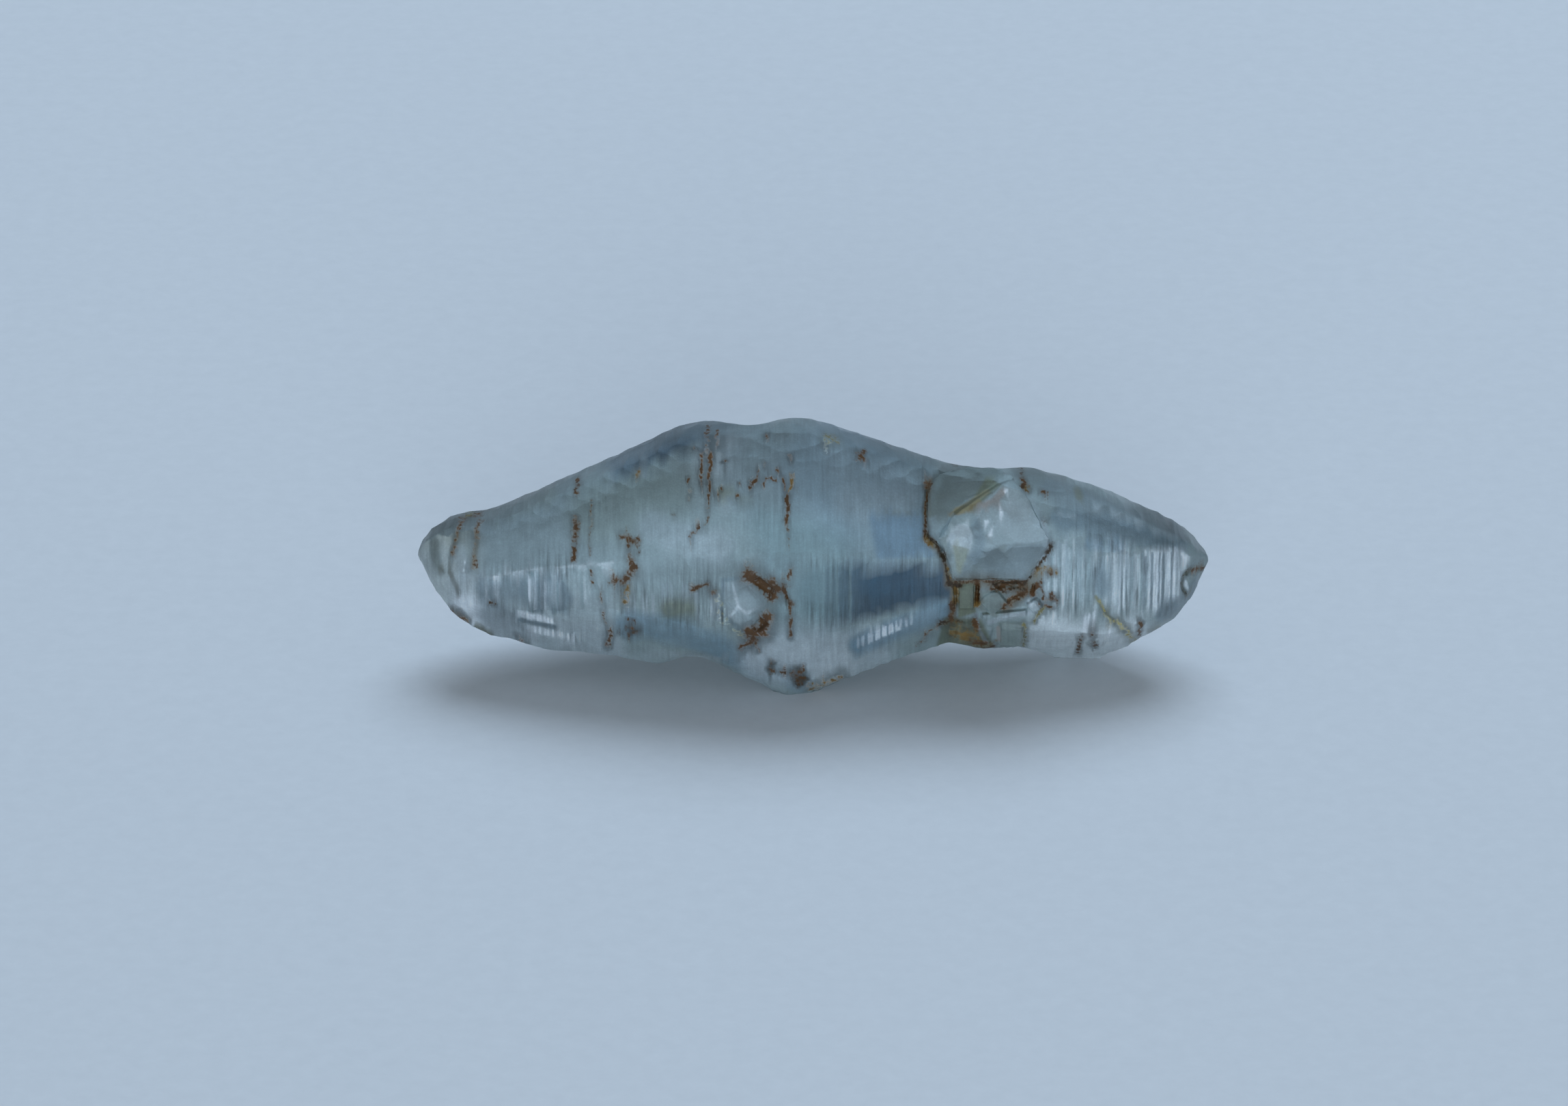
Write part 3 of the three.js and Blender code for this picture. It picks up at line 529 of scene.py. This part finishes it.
# Each stain is a colour, its strength, half-width, and the places that its line passes through. The lower its
# strength, the more it is broken up.
FRONT_STAINS = [
    # The knob and the first slope
    (RUST, 0.45, 0.08, (1.35, 1.1), (1.6, 1.2), (1.9, 1.35)),
    (RUST, 0.5, 0.05, (1.4, 1.05), (1.28, 0.8), (1.22, 0.4), (1.1, 0.1)),
    (RUST, 0.5, 0.07, (1.95, 1.2), (1.88, 0.8), (1.82, 0.3), (1.75, -0.3)),
    (RUST, 0.65, 0.09, (1.0, -1.68), (1.45, -1.95)),
    (SOOT, 1.0, 0.035, (2.42, -1.47)),
    (SOOT, 0.9, 0.025, (2.24, -1.42), (2.33, -1.4)),
    (RUST, 0.5, 0.06, (3.1, -2.45), (3.15, -2.55)),
    (SOOT, 0.6, 0.05, (3.35, -2.7)),
    (RUST, 0.85, 0.055, (4.9, 2.35), (4.88, 1.9)),
    (RUST, 0.8, 0.06, (4.83, 1.2), (4.86, 0.5)),
    (RUST, 0.6, 0.03, (4.95, 1.2), (4.93, 0.4)),
    (RUST, 0.9, 0.05, (4.86, 0.25), (4.76, -0.1)),
    (RUST, 0.55, 0.025, (5.33, 1.7), (5.3, 0.1)),
    (RUST, 0.65, 0.04, (5.36, -0.4), (5.37, -0.75)),
    (RUST, 0.6, 0.03, (5.6, -1.0), (5.62, -1.3)),
    (RUST, 0.6, 0.035, (5.68, -1.6), (5.75, -2.0)),
    (RUST, 0.7, 0.06, (5.87, -2.25), (5.8, -2.7)),
    # The slope up to the belly
    (OCHRE, 0.8, 0.06, (6.73, 2.6), (6.74, 2.5)),
    (RUST, 0.7, 0.06, (6.2, 0.6), (6.45, 0.7), (6.5, 0.45)),
    (RUST, 0.6, 0.06, (6.75, 0.55), (6.7, 0.35)),
    (RUST, 0.9, 0.1, (6.5, 0.0), (6.65, -0.35), (6.3, -0.75)),
    (RUST, 0.8, 0.07, (5.95, -0.8), (6.1, -0.65)),
    (OCHRE, 0.6, 0.08, (6.45, -0.95), (6.35, -1.35)),
    (RUST, 0.6, 0.05, (8.83, 3.95), (8.8, 3.2)),
    (RUST, 0.6, 0.05, (9.15, 3.85), (9.1, 3.3)),
    (RUST, 0.8, 0.04, (8.68, 3.1), (8.62, 2.3)),
    (RUST, 0.95, 0.04, (8.92, 3.1), (8.9, 2.3), (8.85, 1.75)),
    (RUST, 0.6, 0.04, (8.35, 2.0), (8.25, 1.7)),
    (RUST, 0.7, 0.03, (8.85, 1.45), (8.78, 1.0), (8.3, 0.6)),
    (RUST, 0.7, 0.05, (7.83, 1.25)),
    (RUST, 0.85, 0.05, (10.6, 3.6)),
    (RUST, 0.7, 0.04, (10.57, 2.75)),
    (RUST, 0.8, 0.04, (10.1, 2.1), (10.27, 2.3)),
    (RUST, 0.8, 0.03, (10.45, 2.15), (10.6, 2.35), (10.85, 2.3)),
    (RUST, 0.9, 0.05, (11.3, 3.0), (11.28, 2.9)),
    (RUST, 0.8, 0.04, (11.1, 2.4), (11.1, 2.0)),
    (OCHRE, 0.8, 0.04, (11.35, 2.4), (11.4, 2.1), (11.25, 1.95)),
    (RUST, 1.0, 0.05, (11.22, 1.8), (11.2, 1.1)),
    (RUST, 0.55, 0.035, (11.22, 1.0), (11.25, 0.4)),
    (RUST, 0.7, 0.05, (8.4, -1.0), (8.85, -0.8)),
    (RUST, 0.9, 0.07, (9.0, -1.05)),
    (OLIVE, 0.2, 0.09, (9.15, -1.1), (9.3, -1.9), (9.9, -2.4)),
    # The two broken growths on the belly, and the crack beside them
    (RUST, 1.2, 0.17, (10.05, -0.55), (10.4, -0.75), (10.75, -1.1)),
    (RUST, 0.9, 0.1, (10.75, -0.75), (10.95, -0.95)),
    (RUST, 1.0, 0.06, (11.1, -0.85), (11.2, -1.25), (11.35, -1.4)),
    (RUST, 0.9, 0.035, (11.25, -1.3), (11.33, -2.4)),
    (RUST, 0.6, 0.06, (11.3, -0.3), (11.27, -0.85)),
    (RUST, 1.1, 0.16, (10.6, -1.8), (10.5, -2.2), (10.1, -2.32)),
    (RUST, 0.8, 0.06, (10.2, -2.5), (9.85, -2.75)),
    (RUST, 0.7, 0.04, (10.3, -2.5), (10.32, -2.85)),
    (RUST, 0.7, 0.03, (11.05, -3.48), (11.15, -3.48)),
    (OCHRE, 0.5, 0.08, (11.9, -3.95), (12.5, -3.8), (12.9, -3.6)),
    # The belly's far slope
    (RUST, 0.95, 0.045, (13.3, 3.12), (13.55, 2.95)),
    (RUST, 0.9, 0.045, (13.36, 2.92), (13.5, 3.14)),
    (OLIVE, 0.5, 0.12, (12.4, 3.55), (12.65, 3.5)),
    # The seam round the block
    (RUST, 0.9, 0.09, (15.45, 2.2), (15.47, 2.1)),
    (RUST, 1.1, 0.03, (15.43, 2.1), (15.36, 1.4), (15.33, 0.65)),
    (OCHRE, 0.7, 0.08, (15.38, 0.5), (15.5, 0.35)),
    (SOOT, 1.2, 0.03, (15.4, 0.65), (15.65, 0.4), (15.85, 0.0), (16.0, -0.4), (16.1, -0.75)),
    (SOOT, 1.2, 0.08, (15.85, 0.08), (15.9, -0.05)),
    (OCHRE, 0.8, 0.05, (16.03, -0.35), (16.08, -0.6)),
    (RUST, 1.1, 0.03, (16.2, -0.74), (17.3, -0.74), (18.4, -0.74)),
    (SOOT, 1.0, 0.05, (19.15, 0.4), (19.0, 0.1)),
    (SOOT, 0.9, 0.025, (19.0, 0.1), (18.7, -0.35), (18.4, -0.75)),
    (OCHRE, 0.8, 0.06, (18.65, -0.5), (18.8, -0.35), (19.05, -0.4)),
    # Under the block
    (SOOT, 1.3, 0.09, (16.1, -0.85), (16.4, -0.8)),
    (OCHRE, 0.9, 0.06, (16.28, -0.95), (16.28, -1.35)),
    (RUST, 1.0, 0.07, (16.17, -1.4), (16.17, -1.95)),
    (SOOT, 0.95, 0.05, (15.85, -2.0), (16.15, -1.95), (16.5, -2.02)),
    (RUST, 1.3, 0.08, (16.9, -0.8), (16.9, -1.25)),
    (OCHRE, 1.0, 0.08, (16.93, -1.4)),
    (RUST, 1.1, 0.06, (16.86, -1.9), (16.92, -2.2)),
    (RUST, 0.75, 0.11, (17.4, -0.92), (18.35, -0.9)),
    (SOOT, 1.1, 0.03, (17.4, -0.8), (17.7, -1.0), (18.0, -0.95), (18.3, -1.02)),
    (SOOT, 1.0, 0.03, (17.7, -0.78), (18.4, -0.8), (18.35, -1.0)),
    (RUST, 0.85, 0.09, (18.35, -1.05), (18.05, -1.25), (17.75, -1.5)),
    (RUST, 1.1, 0.07, (18.7, -0.85), (18.58, -1.15)),
    (RUST, 0.8, 0.03, (18.75, -0.85), (18.9, -1.1), (18.85, -1.25), (19.3, -1.28)),
    (RUST, 1.0, 0.045, (18.95, -1.45), (19.15, -1.52)),
    (OLIVE, 0.8, 0.035, (18.95, -1.55), (18.65, -1.95)),
    (OCHRE, 0.6, 0.05, (19.3, -0.47)),
    (OLIVE, 0.8, 0.05, (18.38, -2.05), (18.4, -2.65)),
    (OCHRE, 0.65, 0.16, (16.3, -2.3), (16.9, -2.5)),
    (RUST, 0.8, 0.09, (16.8, -2.55), (17.4, -2.72)),
    (RUST, 0.65, 0.035, (15.15, -2.65), (15.5, -2.3), (15.75, -2.05)),
    # The second swelling and its point
    (YELLOW, 0.7, 0.025, (20.5, -1.2), (20.8, -1.7), (21.15, -2.0)),
    (YELLOW, 0.4, 0.08, (21.15, -2.0), (21.45, -2.2), (21.75, -2.55)),
    (RUST, 0.5, 0.04, (18.28, 2.65), (18.28, 2.35)),
    (RUST, 1.1, 0.06, (18.3, 2.28), (18.3, 2.15)),
    (OCHRE, 0.8, 0.045, (18.38, 2.1), (18.48, 1.98)),
    (RUST, 0.8, 0.03, (18.8, 1.95), (19.05, 1.9)),
    (SOOT, 0.8, 0.04, (18.93, 1.12), (19.0, 1.08)),
    (SOOT, 0.6, 0.02, (23.4, -0.33), (23.17, -0.6), (23.15, -0.95), (23.3, -1.2)),
    (RUST, 0.8, 0.03, (23.4, -0.4), (23.85, -0.33)),
    (RUST, 1.1, 0.035, (21.87, -1.98), (21.9, -2.35)),
    (RUST, 0.8, 0.04, (20.1, -2.45), (20.08, -2.9)),
    (RUST, 0.9, 0.06, (20.43, -2.35)),
    (RUST, 0.8, 0.045, (20.5, -2.6), (20.56, -2.72)),
]


def scatter(colour, centre, size, count):
    """A number of specks strewn about a place, as stains of one spot each."""
    spots = random.normal(centre, size, (count, 2))
    return [(colour, 1.0, random.uniform(0.02, 0.05), tuple(spot)) for spot in spots]


for specks in (
    (RUST, (11.6, -3.7), (0.12, 0.22), 22),
    (RUST, (10.75, -3.4), (0.06, 0.15), 7),
    (RUST, (6.5, -2.15), (0.2, 0.12), 14),
    (RUST, (6.5, 0.45), (0.15, 0.15), 6),
    (RUST, (19.0, -1.0), (0.2, 0.25), 8),
    (OCHRE, (16.6, -2.3), (0.4, 0.15), 10),
    (RUST, (9.7, 2.3), (1.2, 0.7), 10),
):
    FRONT_STAINS += scatter(*specks)

BACK_WASHES = [
    stroke(SMOKE, 0.6, 0.8, 1.2, (1.5, 0.2), (5.0, 0.9)),
    stroke(SLATE, 0.8, 0.4, 0.5, (6.2, 2.4), (9.0, 3.5)),
    stroke(BLUE, 0.7, 0.8, 1.3, (12.6, 1.8), (14.4, 0.6)),
    stroke(DEEP_BLUE, 0.6, 0.4, 0.8, (12.4, -1.2), (15.0, -1.0)),
    stroke(MILK, 0.5, 0.3, 0.5, (6.8, -0.6), (9.6, 0.4)),
    stroke(MOSS, 0.7, 0.3, 0.5, (16.2, -0.8), (17.2, 0.9)),
    stroke(MILK, 0.5, 0.8, 0.8, (19.6, -0.2), (22.2, -0.3)),
    *many_bars(60, 0.5, 18.6, 23.0, 1.3, -1.6),
    *many_bars(40, 0.4, 2.4, 6.8, 1.2, -1.0),
]
BACK_STAINS = [
    (RUST, 0.9, 0.07, (16.3, 2.2), (16.1, 0.9), (16.35, -0.6), (16.2, -2.0)),
    (SOOT, 1.1, 0.1, (16.1, 0.6), (16.3, 0.1)),
    (RUST, 0.75, 0.05, (10.6, 3.2), (10.7, 1.4), (10.6, 0.2)),
    (RUST, 0.8, 0.04, (5.2, 1.6), (5.25, -0.4)),
    (OCHRE, 0.7, 0.12, (17.0, -1.0), (17.5, -1.6)),
    (RUST, 1.1, 0.1, (8.6, -1.2), (8.9, -1.5), (9.3, -1.4)),
    (YELLOW, 0.7, 0.07, (20.6, 0.9), (21.2, 0.3), (21.6, -0.6)),
    (OLIVE, 0.6, 0.08, (1.6, 0.9), (1.4, -0.6)),
    *scatter(RUST, (13.2, 2.2), (0.9, 0.5), 16),
    *scatter(RUST, (11.4, -2.4), (0.3, 0.3), 18),
    *scatter(RUST, (7.0, 1.2), (0.6, 0.6), 12),
]


# ---- Painting ----
SPREAD = 1.6  # a stain has faded out at this many times its half-width, and is whole up to 0.6 times
FINE_ROUND_STAIN = 1.5, 0.03  # its cells are fine up to this many times its half-width, and this much more
OVER_THE_TOP = 2.5  # how far beyond the c axis a side's stains are still looked for
TURNED_SHADE = 0.15  # painted shade: how much darker the upper faces are that are turned away from the front
CLEARNESS = 0.84  # the body's share of transmission
TOP_CLEARER, DARK_CLEARER = 0.04, 0.04  # how much clearer upward faces and dark tints are
MILK_DULLER = 0.5  # how much less clear white is
LEAST_CLEAR, MOST_CLEAR = 0.3, 0.96
LINE_CONTRAST, ADDED_CONTRAST = 0.8, 2.2  # of the growth lines' colours: everywhere, and inside LINED


def seen(points):
    """The points' places, for what is painted on the front and for what is painted on the back."""
    station = points[:, 0] - low[0]
    height = (points[:, 2] - AXIS_HEIGHT) * COSINE
    forward = (points[:, 1] - AXIS_DEPTH) * SINE
    return np.c_[station, height + forward], np.c_[station, height - forward]


def distance_to(line, places):
    """Each place's distance to a line through some places, or to a single one."""
    line = np.array(line, float)
    if len(line) == 1:
        return np.hypot(*(places - line[0]).T)
    nearest = np.full(len(places), np.inf)
    for start, end in zip(line, line[1:]):
        run = end - start
        share = np.clip((places - start) @ run / (run @ run), 0, 1)
        nearest = np.minimum(nearest, np.hypot(*(places - start - share[:, None] * run).T))
    return nearest


def inside(outline, places):
    """Whether each place is inside an outline: a line from it to the right crosses the outline's sides an
    odd number of times."""
    x, y = places.T
    odd = np.zeros(len(places), bool)
    for (ax, ay), (bx, by) in zip(outline, outline[1:] + outline[:1]):
        if ay != by:
            odd ^= ((ay > y) != (by > y)) & (x < ax + (y - ay) * (bx - ax) / (by - ay))
    return odd


def near_line(line, reach, places):
    """The numbers of the places whose distance to a line can be under a given reach."""
    first, last = np.min(line, axis=0) - reach, np.max(line, axis=0) + reach
    return np.flatnonzero((places > first).all(1) & (places < last).all(1))


def share_of(outlines, points, normals, soft=0.1):
    """How far each point is inside some outlines on the front, from 0 to 1."""
    front, _ = seen(points)
    share = np.zeros(len(points))
    for outline in outlines:
        distance = np.where(inside(outline, front), 0, distance_to(outline + outline[:1], front))
        share = np.maximum(share, np.clip(1 - distance / soft, 0, 1))
    return share * (normals @ TO_CAMERA > 0)


def uneven(points):
    """Small shifts of the places where stains are painted, so that no stain runs straight."""
    shift = [0.04 * ripple(points, 0.5, seed) + 0.02 * ripple(points, 0.13, seed + 1) for seed in (11, 13)]
    return np.stack(shift, 1)


def patchiness(points):
    """What is added to a stain's strength at each point, so that weak stains are broken up."""
    return 0.35 * ripple(points, 0.3, seed=21) + 0.25 * ripple(points, 0.12, seed=22)


def painted_finely(points):
    """Whether each point is near a stain or in an area with small markings."""
    front, back = seen(points)
    close = np.zeros(len(points), bool)
    for outline in FINELY_PAINTED:
        close |= inside(outline, front) & (points[:, 1] < AXIS_DEPTH)
    for places, stains, side in ((front, FRONT_STAINS, -1), (back, BACK_STAINS, 1)):
        on_side = (points[:, 1] - AXIS_DEPTH) * side > -OVER_THE_TOP
        for _, _, width, *line in stains:
            reach = width * FINE_ROUND_STAIN[0] + FINE_ROUND_STAIN[1]
            chosen = near_line(line, reach, places)
            close[chosen] |= (distance_to(line, places[chosen]) < reach) & on_side[chosen]
    return close


def wash(tint, washes, places, cover):
    """Blends strokes and patches into the points' tint, each over the ones before it."""
    for colour, strength, width, soft, line, closed in washes:
        chosen = near_line(line, width + soft, places)
        near = places[chosen]
        distance = distance_to(line + line[:1] * closed, near)
        if closed:
            distance[inside(line, near)] = 0
        weight = np.clip((width + soft - distance) / soft, 0, 1)
        weight = weight * weight * (3 - 2 * weight) * strength * cover[chosen]
        tint[chosen] += (colour - tint[chosen]) * weight[:, None]


def halo(colour, strength, width, *line):
    """The faint colour that has crept into the crystal round a stain."""
    return stroke(colour, 0.6 * min(strength, 1), width, 2 * width + 0.05, *line)


def stain(colours, amount, stains, places, cover, patchy):
    """Sets the points' stain colours and amounts. Where stains meet, the stronger one wins."""
    for colour, strength, width, *line in stains:
        chosen = near_line(line, width * SPREAD, places)
        weight = np.clip(SPREAD - distance_to(line, places[chosen]) / width, 0, 1)
        weight *= np.clip(strength + patchy[chosen], 0, 1.2) * cover[chosen]
        stronger = weight > amount[chosen]
        colours[chosen[stronger]] = colour
        amount[chosen] = np.maximum(amount[chosen], weight)


def clearness(tint, normals):
    """The share of transmission at each point, from its tint and from how far it faces up."""
    milk = (tint.mean(1) - BODY.mean()) / (WHITE.mean() - BODY.mean())
    clear = CLEARNESS + TOP_CLEARER * ramp(normals[:, 2], 0.6, 0.3)
    clear = clear - MILK_DULLER * np.clip(milk, 0, 1) - DARK_CLEARER * np.clip(milk, -3, 0)
    return np.clip(clear, LEAST_CLEAR, MOST_CLEAR)


def paint(points, normals):
    """Each point's tint, with its painted light and shade, clearness, stain colour, amount of stain, and
    contrast of its growth lines.
    """
    tint = np.tile(BODY, (len(points), 1))
    colours = np.tile(RUST, (len(points), 1))
    amount = np.zeros(len(points))
    sides = ((TO_CAMERA, FRONT_WASHES, FRONT_STAINS), (TO_BACK_VIEW, BACK_WASHES, BACK_STAINS))
    shift, patchy = uneven(points), patchiness(points)
    for places, (to_viewer, washes, stains) in zip(seen(points), sides):
        cover = ramp(normals @ to_viewer, -0.05, 0.1)
        wash(tint, washes, places, cover)
        wash(tint, [halo(*mark) for mark in stains], places + shift, cover)
        stain(colours, amount, stains, places + shift, cover, patchy)
    # Painted shade: the upper faces turned away from the front are darkened
    turned = ramp(-(normals @ TO_CAMERA), -0.6, 0.25) * (normals[:, 2] > 0)
    tint *= 1 - TURNED_SHADE * turned[:, None]
    lined = LINE_CONTRAST + ADDED_CONTRAST * share_of(LINED, points, normals, soft=0.5)
    lined *= 1 - share_of([BLOCK], points, normals)
    return tint, clearness(tint, normals), colours, amount, lined


def set_colour(mesh, name, colours, alpha):
    """Keeps a colour and a number for each of the mesh's points."""
    layer = mesh.color_attributes.new(name, "FLOAT_COLOR", "POINT")
    layer.data.foreach_set("color", np.c_[colours, alpha].ravel())


def make_crystal():
    points, triangles, normals = fine_surface()
    mesh = bpy.data.meshes.new("sapphire")
    mesh.from_pydata(points * MM, [], triangles)
    tint, clear, stain_colour, amount, lined = paint(points, normals)
    set_colour(mesh, "tint", tint, clear)
    set_colour(mesh, "lined", np.repeat(lined[:, None], 3, 1), np.ones(len(points)))
    set_colour(mesh, "stain", stain_colour, amount)
    mesh.shade_smooth()
    mesh.normals_split_custom_set_from_vertices(normals_of(points, triangles))
    crystal = bpy.data.objects.new("sapphire", mesh)
    bpy.context.scene.collection.objects.link(crystal)
    return crystal


# ---- Materials ----
CORUNDUM_IOR = 1.77
ABSORBED = (0.34, 0.74, 0.80, 1), 28  # the volume's colour, and its density per metre
STAIN_ROUGHNESS = 0.7
POLISH = 0.3, 0.42  # the smoothest and the roughest of the clean surface


class Nodes:
    """Adds shader nodes to a material and joins them up."""

    def __init__(self, owner):
        owner.use_nodes = True
        self.tree = owner.node_tree

    def add(self, kind, inputs=(), **settings):
        made = self.tree.nodes.new("ShaderNode" + kind)
        for name, value in settings.items():
            setattr(made, name, value)
        self.set(made, dict(inputs))
        return made.outputs[0]

    def set(self, target, inputs):
        for name, value in inputs.items():
            if isinstance(value, bpy.types.NodeSocket):
                self.tree.links.new(value, target.inputs[name])
            else:
                target.inputs[name].default_value = value

    def math(self, operation, *values):
        return self.add("Math", enumerate(values), operation=operation)

    def vector_math(self, operation, *values):
        return self.add("VectorMath", enumerate(values), operation=operation)

    def between(self, value, start, end, to_start=0.0, to_end=1.0):
        """to_start up to the start, to_end from the end on, and a straight change between."""
        names = ("Value", "From Min", "From Max", "To Min", "To Max")
        return self.add("MapRange", zip(names, (value, start, end, to_start, to_end)))

    def varying(self, noise, least=0.0, most=1.0):
        """Noise, whose own values are mostly from 0.3 to 0.7, with values from least to most."""
        return self.between(noise, 0.3, 0.7, least, most)

    def blend(self, share, one, other):
        """A number that goes from one to the other as the share goes from 0 to 1."""
        return self.between(share, 0, 1, one, other)

    def mix(self, share, one, other):
        """A colour that goes from one to the other as the share goes from 0 to 1."""
        made = self.tree.nodes.new("ShaderNodeMix")
        made.data_type = "RGBA"
        self.set(made, {0: share, 6: one, 7: other})
        return made.outputs[2]

    def place(self, *scale):
        """The place on the object, in units of the given millimetres along x, y and z."""
        place = self.add("TexCoord").node.outputs["Object"]
        factors = [1 / (size * MM) for size in scale]
        return self.vector_math("MULTIPLY", place, factors)

    def noise(self, scale, detail=3.0, roughness=0.55):
        """Noise whose features are about the given sizes in millimetres along x, y and z."""
        inputs = {"Vector": self.place(*scale), "Scale": 1, "Detail": detail, "Roughness": roughness}
        return self.add("TexNoise", inputs)

    def cracks(self, size):
        """0 on a net of lines whose meshes have the given size in millimetres, and more between them."""
        inputs = {"Vector": self.place(size, size, size), "Scale": 1}
        return self.add("TexVoronoi", inputs, feature="DISTANCE_TO_EDGE")

    def colour(self, name):
        """A colour and the number that the mesh keeps with it."""
        made = self.add("Attribute", attribute_name=name).node
        return made.outputs["Color"], made.outputs["Alpha"]


def sapphire():
    """Clear corundum with milky places and the painted light and shade of its tint, finely lined and mottled,
    and stains that cover its surface.
    """
    material = bpy.data.materials.new("sapphire")
    nodes = Nodes(material)
    tint, clear = nodes.colour("tint")
    stain_colour, amount = nodes.colour("stain")
    lined, _ = nodes.colour("lined")
    streaks = nodes.noise((0.1, 1.6, 1.6), 4, 0.6)
    streaky = nodes.noise((1.5, 1.0, 1.0), 1)
    mottle = nodes.noise((0.5, 0.4, 0.4), 4, 0.6)
    polish = nodes.noise((1.2, 1.2, 1.2), 1)
    grain = nodes.noise((0.06, 0.06, 0.06), 3)

    # The tint, with light and dark growth lines, mottling, and dark and bright specks
    contrast = nodes.math("MULTIPLY", nodes.between(streaky, 0.35, 0.65, 0.04, 0.3), lined)
    light_lines = nodes.math("MULTIPLY", nodes.varying(streaks, -1, 1), contrast)
    light_lines = nodes.math("ADD", light_lines, 1)
    brightness = nodes.math("MULTIPLY", light_lines, nodes.varying(mottle, 0.88, 1.12))
    brightness = nodes.math("MULTIPLY", brightness, nodes.between(grain, 0.3, 0.55, 0.9, 1))
    brightness = nodes.math("MULTIPLY", brightness, nodes.between(grain, 0.55, 0.7, 1, 1.18))
    varied = nodes.vector_math("MULTIPLY", tint, brightness)
    varied = nodes.vector_math("MINIMUM", varied, (1, 1, 1))

    # The stains, ragged and in a net of cracks. Nothing is stained where none is painted.
    ragged = nodes.math("ADD", amount, nodes.varying(grain, -0.15, 0.2))
    ragged = nodes.math("ADD", ragged, nodes.between(nodes.cracks(0.16), 0.0, 0.3, 0.3, -0.2))
    stained = nodes.math("MULTIPLY", nodes.between(ragged, 0.22, 1.0), nodes.between(amount, 0, 0.1))
    depth = nodes.math("ADD", nodes.blend(stained, 1.2, 0.5), nodes.varying(mottle, 0, 0.6))
    rusty = nodes.vector_math("MULTIPLY", stain_colour, depth)

    # Fine grooves, and dimples in their place on the block
    grooves = nodes.math("MULTIPLY", streaks, nodes.blend(lined, 0.05, 0.6))
    dimples = nodes.math("MULTIPLY", mottle, nodes.blend(lined, 0.9, 0.1))
    height = nodes.math("ADD", grooves, nodes.math("ADD", dimples, nodes.math("MULTIPLY", grain, 0.4)))
    bump = nodes.add("Bump", {"Height": height, "Strength": 0.6, "Distance": 0.02 * MM})

    nodes.set(
        nodes.tree.nodes["Principled BSDF"],
        {
            "Base Color": nodes.mix(stained, varied, rusty),
            "Roughness": nodes.blend(stained, nodes.varying(polish, *POLISH), STAIN_ROUGHNESS),
            "IOR": CORUNDUM_IOR,
            "Transmission Weight": nodes.blend(stained, clear, 0.0),
            "Normal": bump,
        },
    )
    colour, density = ABSORBED
    absorption = nodes.add("VolumeAbsorption", {"Color": colour, "Density": density})
    nodes.set(nodes.tree.nodes["Material Output"], {"Volume": absorption})
    return material


# ---- Floor and light: lengths in metres ----
FLOOR_SIZE = 1.2
PAPER = (0.60, 0.62, 0.64, 1), (0.63, 0.65, 0.67, 1)  # its darkest and its lightest parts
SKY_FRONT, SKY_BEHIND = (0.78, 0.89, 1.0, 1), (0.56, 0.65, 0.75, 1)
SKY_STRENGTH = 0.31


def add_floor():
    bpy.ops.mesh.primitive_plane_add(size=FLOOR_SIZE, location=(0, 0, 0))
    floor = bpy.context.object
    floor.name = "floor"
    material = bpy.data.materials.new("paper")
    nodes = Nodes(material)
    fibres = nodes.noise((0.6, 0.6, 0.6), 5, 0.65)
    shade = nodes.mix(nodes.varying(fibres), *PAPER)
    nodes.set(nodes.tree.nodes["Principled BSDF"], {"Base Color": shade, "Roughness": 0.9})
    floor.data.materials.append(material)


def add_light(name, location, size, power, colour):
    """A soft round light that faces the crystal and isn't seen in it."""
    data = bpy.data.lights.new(name, "AREA")
    data.shape = "DISK"
    data.size = size
    data.energy = power
    data.color = colour
    light = bpy.data.objects.new(name, data)
    light.location = location
    light.rotation_euler = (Vector() - Vector(location)).to_track_quat("-Z", "Y").to_euler()
    light.visible_glossy = False
    light.visible_transmission = False
    bpy.context.scene.collection.objects.link(light)


def add_light_and_sky():
    add_light("window", location=(0.06, 0.26, 0.47), size=0.46, power=2.3, colour=(0.65, 0.81, 1.0))
    add_light("fill", location=(0, -0.5, 0.05), size=0.3, power=2.4, colour=(0.74, 0.87, 1.0))
    world = bpy.data.worlds.new("studio")
    bpy.context.scene.world = world
    nodes = Nodes(world)
    direction = nodes.add("TexCoord").node.outputs["Generated"]
    behind = nodes.add("SeparateXYZ", {0: direction}).node.outputs["Y"]
    sky = nodes.mix(nodes.between(behind, 0.1, 0.8), SKY_FRONT, SKY_BEHIND)
    nodes.set(world.node_tree.nodes["Background"], {"Color": sky, "Strength": SKY_STRENGTH})
    bpy.context.scene.view_settings.view_transform = "Standard"


add_camera()
crystal = make_crystal()
crystal.data.materials.append(sapphire())
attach(crystal, "root")
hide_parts(NODE)
add_floor()
add_light_and_sky()
